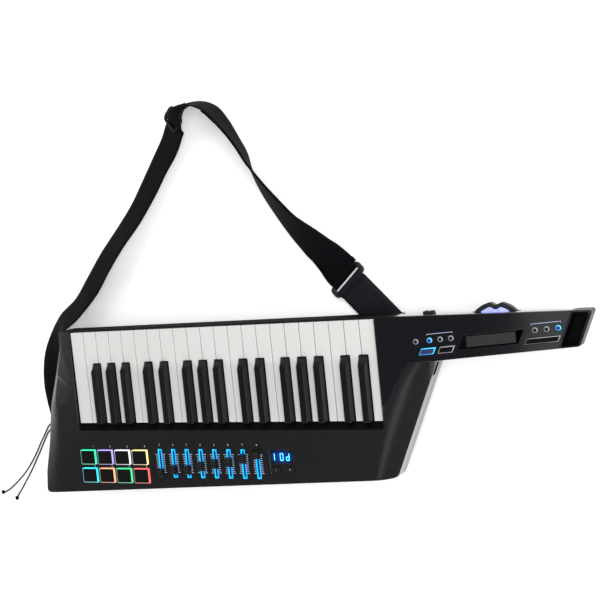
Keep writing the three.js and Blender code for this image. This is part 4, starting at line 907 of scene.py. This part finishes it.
glide_swing = 0.52
glide_roll = 26


def woven(name, dark, pale):
    """Plain-woven nylon: rows and columns of thread that the band's own UV map counts in metres."""
    finish = Finish(name, Specular_IOR_Level=0.05)
    spot = finish.node("ShaderNodeUVMap", {"uv_map": "UVMap"}, {})
    across, along = finish.along(0, spot), finish.along(1, spot)
    column = (across * (1 / warp)) % 2 > 1
    rows = (along * (math.tau / weft) + column * math.pi).sine()
    columns = (across * (math.tau / warp)).sine()
    weave = 0.5 + rows * 0.35 + columns * 0.15
    fuzz = finish.cloud(700, 3)
    finish.feed(
        Base_Color=finish.blend(weave * 0.7 + fuzz * 0.3, dark, pale),
        Roughness=0.62 + fuzz * 0.2,
    )
    finish.relief(weave + fuzz * 0.2, 0.00022)
    return finish.material


nylon = woven("Black nylon webbing", (0.0015, 0.0015, 0.0022), (0.0055, 0.0055, 0.008))


def along_curve(points, share):
    """A point of the smooth curve through points, share from 0 to 1."""
    place = min(max(share, 0.0), 1.0) * (len(points) - 1)
    first = min(int(place), len(points) - 2)
    part = place - first
    a, b, c, d = (points[min(max(first + step, 0), len(points) - 1)] for step in (-1, 0, 1, 2))
    bend, twist = a * 2 - b * 5 + c * 4 - d, b * 3 - a - c * 3 + d
    return (b * 2 + (c - a) * part + bend * part ** 2 + twist * part ** 3) / 2


def band(name, size, thickness, steps, place_at, material, slot, rests_on, stands_for=None):
    """A woven band: a grid whose points place_at puts at (across, along), both from 0 to 1."""
    skin = bmesh.new()
    layer = skin.loops.layers.uv.new("UVMap")
    bmesh.ops.create_grid(skin, x_segments=8, y_segments=steps, size=0.5, calc_uvs=True)
    for vert in skin.verts:
        vert.co = place_at(vert.co.x + 0.5, vert.co.y + 0.5)
    for face in skin.faces:
        for loop in face.loops:
            loop[layer].uv = (loop[layer].uv.x * size[0], loop[layer].uv.y * size[1])
    piece = finished(name, skin, material, stands_for=stands_for)
    piece.modifiers.clear()
    wall = piece.modifiers.new("Cloth", "SOLIDIFY")
    wall.thickness = thickness
    wall.offset = 0


route = [Vector(point) for point in webbing_route]


def on_webbing(across_share, along_share, lift=0.0, shift=0.0):
    """A place on the webbing, which rises under the buckle, lifted off its face and shifted."""
    here = along_curve(route, along_share)
    back, ahead = (along_curve(route, along_share + step).xy for step in (-near_step, near_step))
    run = (ahead - back).normalized()
    near_glide = max(0.0, 1 - ((along_share - glide_share) / glide_reach) ** 2)
    roll = math.radians(here.z + (glide_roll - here.z) * near_glide)
    side = Vector((run.y * math.cos(roll), -run.x * math.cos(roll), math.sin(roll)))
    normal = Vector((-run.y * math.sin(roll), run.x * math.sin(roll), math.cos(roll)))
    foot = Vector((here.x, here.y, webbing_lift + webbing_thickness / 2 * abs(math.cos(roll))))
    foot += Vector((glide_swing, 0, 1)) * glide_lift * near_glide
    return foot + side * (webbing_width * across_share + shift) + normal * lift


band(
    "woven_webbing", (webbing_width, webbing_length), webbing_thickness, webbing_steps, on_webbing,
    nylon, slot="webbing_black", rests_on="strap_slider", stands_for="strap_webbing",
)

# Buckle: a moulded nylon three-bar slide on the webbing near the top of its bend. A second layer
# of webbing comes up over its middle bar, and its rounded end stands out past the edge.
slider_nylon = moulded("Moulded nylon slider", (0.014, 0.014, 0.0155), 0.38, 900, 0.00001)
buckle_nylon = moulded(
    "Moulded nylon buckle", (0.004, 0.004, 0.005), 0.5, 900, 0.00001, Specular_IOR_Level=0.2,
)
glide_outline = corner_box(0, 0.0115, 0.026, 0.045, radius=0.009)
glide_hole = corner_box(0, 0.009, 0.018, 0.034, radius=0.003)
glide_bar = corner_box(0, 0.009, 0.004, 0.035, radius=0.0004, steps=2)
glide_bottom, glide_top = 0.0009, 0.0043
loop_start, loop_end = 15.36 / route_steps, 17.0 / route_steps
loop_lifts = [
    0.0017, 0.0044, 0.0053, 0.0055, 0.0056, 0.0056, 0.0055, 0.0045, 0.0028, 0.0019, 0.0017,
]
loop_length = 0.034
glide_run = on_webbing(0, glide_share + near_step) - on_webbing(0, glide_share - near_step)
glide_run.normalize()
glide_side = (on_webbing(0, glide_share) - on_webbing(1, glide_share)).normalized()
glide = ring(glide_outline, glide_hole, glide_bottom, glide_top)
plate(glide_bar, glide_bottom, glide_top, glide)
bmesh.ops.transform(glide, verts=glide.verts, matrix=set_at(
    on_webbing(0.5, glide_share), glide_run, glide_side, glide_run.cross(glide_side),
))
finished("strap_buckle", glide, buckle_nylon, soften=0.0009, steps=3)


def over_bar(across, along):
    lift = along_curve([Vector((height, 0)) for height in loop_lifts], along).x
    return on_webbing(across, loop_start + (loop_end - loop_start) * along, lift)


band(
    "buckle_loop", (webbing_width, loop_length), webbing_thickness, 30, over_bar,
    nylon, slot="webbing_black", rests_on="strap_buckle",
)

# Strap tab and slider: a short piece of thicker nylon webbing sewn round the bar of a moulded
# nylon slider. It runs in under the body, where it buttons on the neck's strap pin.
strap_pin = Vector((0.262, 0.11, 0))
tab_turn = math.radians(132.3)
tab_along = Vector((math.cos(tab_turn), math.sin(tab_turn), 0))
tab_across = Vector((math.sin(tab_turn), -math.cos(tab_turn), 0))
tab_width = 0.049
tab_length = 0.105
tab_flat_z = 0.0033
tab_thickness = 0.0022
tab_route = [
    (-0.011, tab_flat_z), (0.018, tab_flat_z), (0.046, tab_flat_z), (0.0735, tab_flat_z),
    (0.0778, 0.0043), (0.0808, 0.0065), (0.0848, 0.0065), (0.0877, 0.0048), (0.0892, 0.0018),
]
tab_spacing = [0, 0.27, 0.54, 0.81, 0.855, 0.89, 0.93, 0.965, 1]
slider_middle = 0.0906
slider_length, slider_width = 0.019, 0.062
slot_length, slot_width = 0.011, 0.049
slider_bottom, slider_top = 0.0003, 0.0053


def on_tab(along, across, z):
    return strap_pin + tab_along * along + tab_across * across + Vector((0, 0, z))


def tab_place(across, along):
    """A place on the tab, whose route has its points at the shares of its length in tab_spacing."""
    first = max(step for step, share in enumerate(tab_spacing[:-1]) if share <= along)
    part = (along - tab_spacing[first]) / (tab_spacing[first + 1] - tab_spacing[first])
    points = [Vector(point) for point in tab_route]
    turn = along_curve(points, (first + part) / (len(points) - 1))
    return on_tab(turn.x, (across - 0.5) * tab_width, turn.y)


tab_nylon = woven("Stiff nylon webbing", (0.007, 0.007, 0.009), (0.02, 0.02, 0.026))
band(
    "woven_tab", (tab_width, tab_length), tab_thickness, 80, tab_place,
    tab_nylon, slot="tab_black", rests_on="strap_slider",
)


def tab_plan(points):
    return [tuple(on_tab(along, across, 0).xy) for along, across in points]


slider = ring(
    tab_plan(corner_box(slider_middle, 0, slider_length, slider_width, radius=0.006)),
    tab_plan(corner_box(slider_middle, 0, slot_length, slot_width, radius=0.002)),
    slider_bottom, slider_top,
)
finished(
    "strap_slider", slider, slider_nylon, soften=0.0008, steps=3, stands_for="strap_tab",
)
stitch_length, stitch_width, stitch_pitch = 0.0021, 0.0005, 0.0032
stitch_bottom, stitch_top = 0.0043, 0.0046


def stitches(name, start, end, thread):
    """A row of thread on the tab between two places, each given along and across it."""
    start, end = Vector(start), Vector(end)
    run = (end - start).normalized() * stitch_length / 2
    side = Vector((-run.y, run.x)).normalized() * stitch_width / 2
    count = int((end - start).length / stitch_pitch)
    skin = bmesh.new()
    for step in range(count + 1):
        middle = start.lerp(end, step / count)
        corners = [
            middle - run - side, middle + run - side, middle + run + side, middle - run + side,
        ]
        plate(tab_plan(corners), stitch_bottom, stitch_top, skin)
    finished(name, skin, thread)


pale_thread = moulded("Grey polyester thread", (0.03, 0.03, 0.033), 0.6, 900, 0.00005)
dark_thread = moulded("Black polyester thread", (0.002, 0.002, 0.0025), 0.7, 900, 0.00005)
stitches("tab_cross_seam", (0.0725, -0.0225), (0.0725, 0.0225), dark_thread)
stitches("tab_edge_seam", (0.0705, 0.021), (-0.008, 0.021), pale_thread)

# Folded ply: the webbing runs through the slider, over its far bar and back on top of itself. It
# lies a little to one side of the layer below, so that both edges show.
ply_start = 0.64
ply_flat = 0.963
ply_length = 0.345
ply_lift = -0.0018
ply_shift, ply_shift_left = 0.0057, 0.0006
ply_shift_start, ply_shift_run = 0.9, 0.055
ply_edge = -0.0252
ply_wrap = [
    (0.1011, 0.0029), (0.1011, 0.0046), (0.1003, 0.006), (0.0985, 0.0063), (0.0968, 0.0062),
    (0.0951, 0.0054), (0.0939, 0.0038), (0.0933, 0.0022),
]


def eased(share):
    share = min(max(share, 0.0), 1.0)
    return share * share * (3 - 2 * share)


def on_ply(across, along):
    if along <= ply_flat:
        share = ply_start + (1 - ply_start) * along / ply_flat
        shift = ply_shift * eased((share - ply_shift_start) / ply_shift_run)
        return on_webbing(across, share, ply_lift, shift)
    part = (along - ply_flat) / (1 - ply_flat)
    turn = along_curve([Vector(point) for point in ply_wrap], part)
    shift = ply_shift + (ply_shift_left - ply_shift) * part
    return on_tab(turn.x, ply_edge + shift + webbing_width * across, turn.y)


band(
    "folded_ply", (webbing_width, ply_length), webbing_thickness, webbing_steps, on_ply,
    nylon, slot="webbing_black", rests_on="woven_webbing",
)

# Laces: the strap's left end is tied with a braided lace, which loops round the body's pin and
# the webbing. Its two free ends run out beside the instrument and end in knots.
lace_diameter = 0.0023
knot_size, knot_lift = 0.0009, 0.0004
knot_steps = 60
front_lace_route = [
    (-0.353, -0.0195, 0.0014), (-0.3528, -0.023, 0.0013), (-0.3554, -0.027, 0.0013),
    (-0.361, -0.0296, 0.0013), (-0.367, -0.0336, 0.0013), (-0.373, -0.042, 0.0013),
    (-0.388, -0.063, 0.0013), (-0.403, -0.085, 0.0013), (-0.418, -0.103, 0.0013),
    (-0.433, -0.118, 0.0013), (-0.452, -0.133, 0.0013), (-0.467, -0.143, 0.0013),
    (-0.478, -0.1465, 0.0025),
]
back_lace_route = [
    (-0.345, -0.0181, 0.0014), (-0.3444, -0.022, 0.0013), (-0.3464, -0.0284, 0.0013),
    (-0.3526, -0.034, 0.0013), (-0.361, -0.038, 0.0013), (-0.369, -0.044, 0.0013),
    (-0.376, -0.0535, 0.0013), (-0.384, -0.066, 0.0013), (-0.398, -0.087, 0.0013),
    (-0.412, -0.107, 0.0013), (-0.426, -0.125, 0.0013), (-0.438, -0.14, 0.0013),
    (-0.445, -0.148, 0.0013), (-0.45, -0.156, 0.0025),
]
braid = moulded(
    "Braided black lace", (0.002, 0.002, 0.0025), 0.85, 500, 0.0002, Specular_IOR_Level=0.04,
)


def braided(name, places, radius, closed=False):
    """A round braided cord through places, which joins its own start where it is closed."""
    curve = bpy.data.curves.new(name, "CURVE")
    curve.dimensions = "3D"
    curve.bevel_depth = radius
    curve.bevel_resolution = 3
    curve.use_fill_caps = not closed
    spline = curve.splines.new("POLY")
    spline.points.add(len(places) - 1)
    spline.use_cyclic_u = closed
    for place, point in zip(places, spline.points):
        point.co = (*place, 1)
    curve.materials.append(braid)
    cord = in_scene(name, curve)
    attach(cord, "housing")
    return cord


def smoothed(points, steps_each=12):
    route = [Vector(point) for point in points]
    steps = steps_each * (len(route) - 1)
    return [along_curve(route, step / steps) for step in range(steps + 1)]


def lace(name, points, node):
    """A lace on its route, with a three-lobed knot at its end."""
    cord = braided(name, smoothed(points), lace_diameter / 2)
    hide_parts(node)
    x, y, z = points[-1]
    knot = []
    for step in range(knot_steps):
        turn = math.tau * step / knot_steps
        reach = knot_size * (2 + math.cos(3 * turn))
        knot.append((
            x + reach * math.cos(2 * turn), y + reach * math.sin(2 * turn),
            z + knot_lift + knot_size * math.sin(3 * turn),
        ))
    end = braided(f"{name}_knot", knot, radius=0.001, closed=True)


lace("tied_front_lace", front_lace_route, "front_lace")
lace("tied_back_lace", back_lace_route, "back_lace")
tie_loop_route = [
    (-0.347, -0.018, 0.002), (-0.34, -0.0165, 0.0062), (-0.33, -0.0138, 0.0125),
    (-0.3238, -0.0121, 0.0165), (-0.3215, -0.009, 0.0215), (-0.3215, -0.0045, 0.0224),
    (-0.3215, -0.0009, 0.0187), (-0.3215, -0.0018, 0.0132), (-0.324, -0.006, 0.0108),
    (-0.33, -0.011, 0.0082), (-0.3375, -0.015, 0.0042), (-0.342, -0.017, 0.002),
]
braided("tie_loop", smoothed(tie_loop_route), lace_diameter / 2)

# Studio: a pale painted floor under the instrument, soft lights above and on every side, and the
# photograph's camera.
camera_yaw, camera_pitch, camera_roll = 0.479983, 0.089193, -0.101098
camera_target = Vector((0.148728, 0.157126, 0.056))
camera_distance = 1.87329
toward = Vector((
    math.sin(camera_yaw) * math.cos(camera_pitch), math.sin(camera_pitch),
    math.cos(camera_yaw) * math.cos(camera_pitch),
))
level = Vector((0, 1, 0)).cross(toward).normalized()
upward = toward.cross(level)
right = level * math.cos(camera_roll) + upward * math.sin(camera_roll)
above = upward * math.cos(camera_roll) - level * math.sin(camera_roll)
lens = bpy.data.cameras.new("Camera")
lens.lens = 79.381
lens.sensor_width = 36
camera = in_scene("Camera", lens)
camera.matrix_world = set_at(camera_target + toward * camera_distance, right, above, toward)
bpy.context.scene.camera = camera

floor_skin = bmesh.new()
bmesh.ops.create_grid(floor_skin, x_segments=1, y_segments=1, size=6)
floor_mesh = bpy.data.meshes.new("floor")
floor_skin.to_mesh(floor_mesh)
floor_skin.free()
floor_paint = Finish(
    "Pale studio floor", Roughness=0.6, Emission_Strength=0.3, Emission_Color=(1, 1, 1),
)
floor_tones = (0.93, 0.93, 0.93), (0.95, 0.95, 0.95)
floor_paint.feed(Base_Color=floor_paint.blend(floor_paint.cloud(3, 2), *floor_tones))
floor_mesh.materials.append(floor_paint.material)
in_scene("floor", floor_mesh)


def soft_light(name, place, aim, size, brightness):
    light = bpy.data.lights.new(name, "AREA")
    light.shape = "RECTANGLE"
    light.size, light.size_y = size
    light.energy = brightness * math.pi * size[0] * size[1]
    lamp = in_scene(name, light)
    lamp.location = place
    lamp.rotation_mode = "QUATERNION"
    lamp.rotation_quaternion = (Vector(aim) - Vector(place)).to_track_quat("-Z", "Y")


soft_light("ceiling panel", (0.4, -0.4, 2.0), (0.4, -0.4, 0), (1.1, 1.1), 1.1)
soft_light("player side light", (0.5, 2.4, 1.7), (0.1, 0.1, 0), (2.4, 1.4), 4.0)
soft_light("camera side light", (1.7, 0.7, 2.4), (0.1, 0.1, 0), (1.6, 1.2), 5.0)
soft_light("left light", (-2.3, 0.2, 0.9), (0, 0, 0), (0.8, 1.6), 4.5)
soft_light("right light", (2.4, -0.4, 1.1), (0.2, 0, 0), (0.8, 1.6), 6.0)
soft_light("rear light", (-0.3, -2.4, 1.3), (0, 0, 0), (2.0, 1.0), 6.0)
world = bpy.data.worlds.new("Studio")
world.use_nodes = True
sky = world.node_tree.nodes["Background"].inputs
sky["Color"].default_value = (0.95, 0.97, 1.0, 1)
sky["Strength"].default_value = 0.12
bpy.context.scene.world = world
bpy.context.scene.view_settings.view_transform = "Standard"
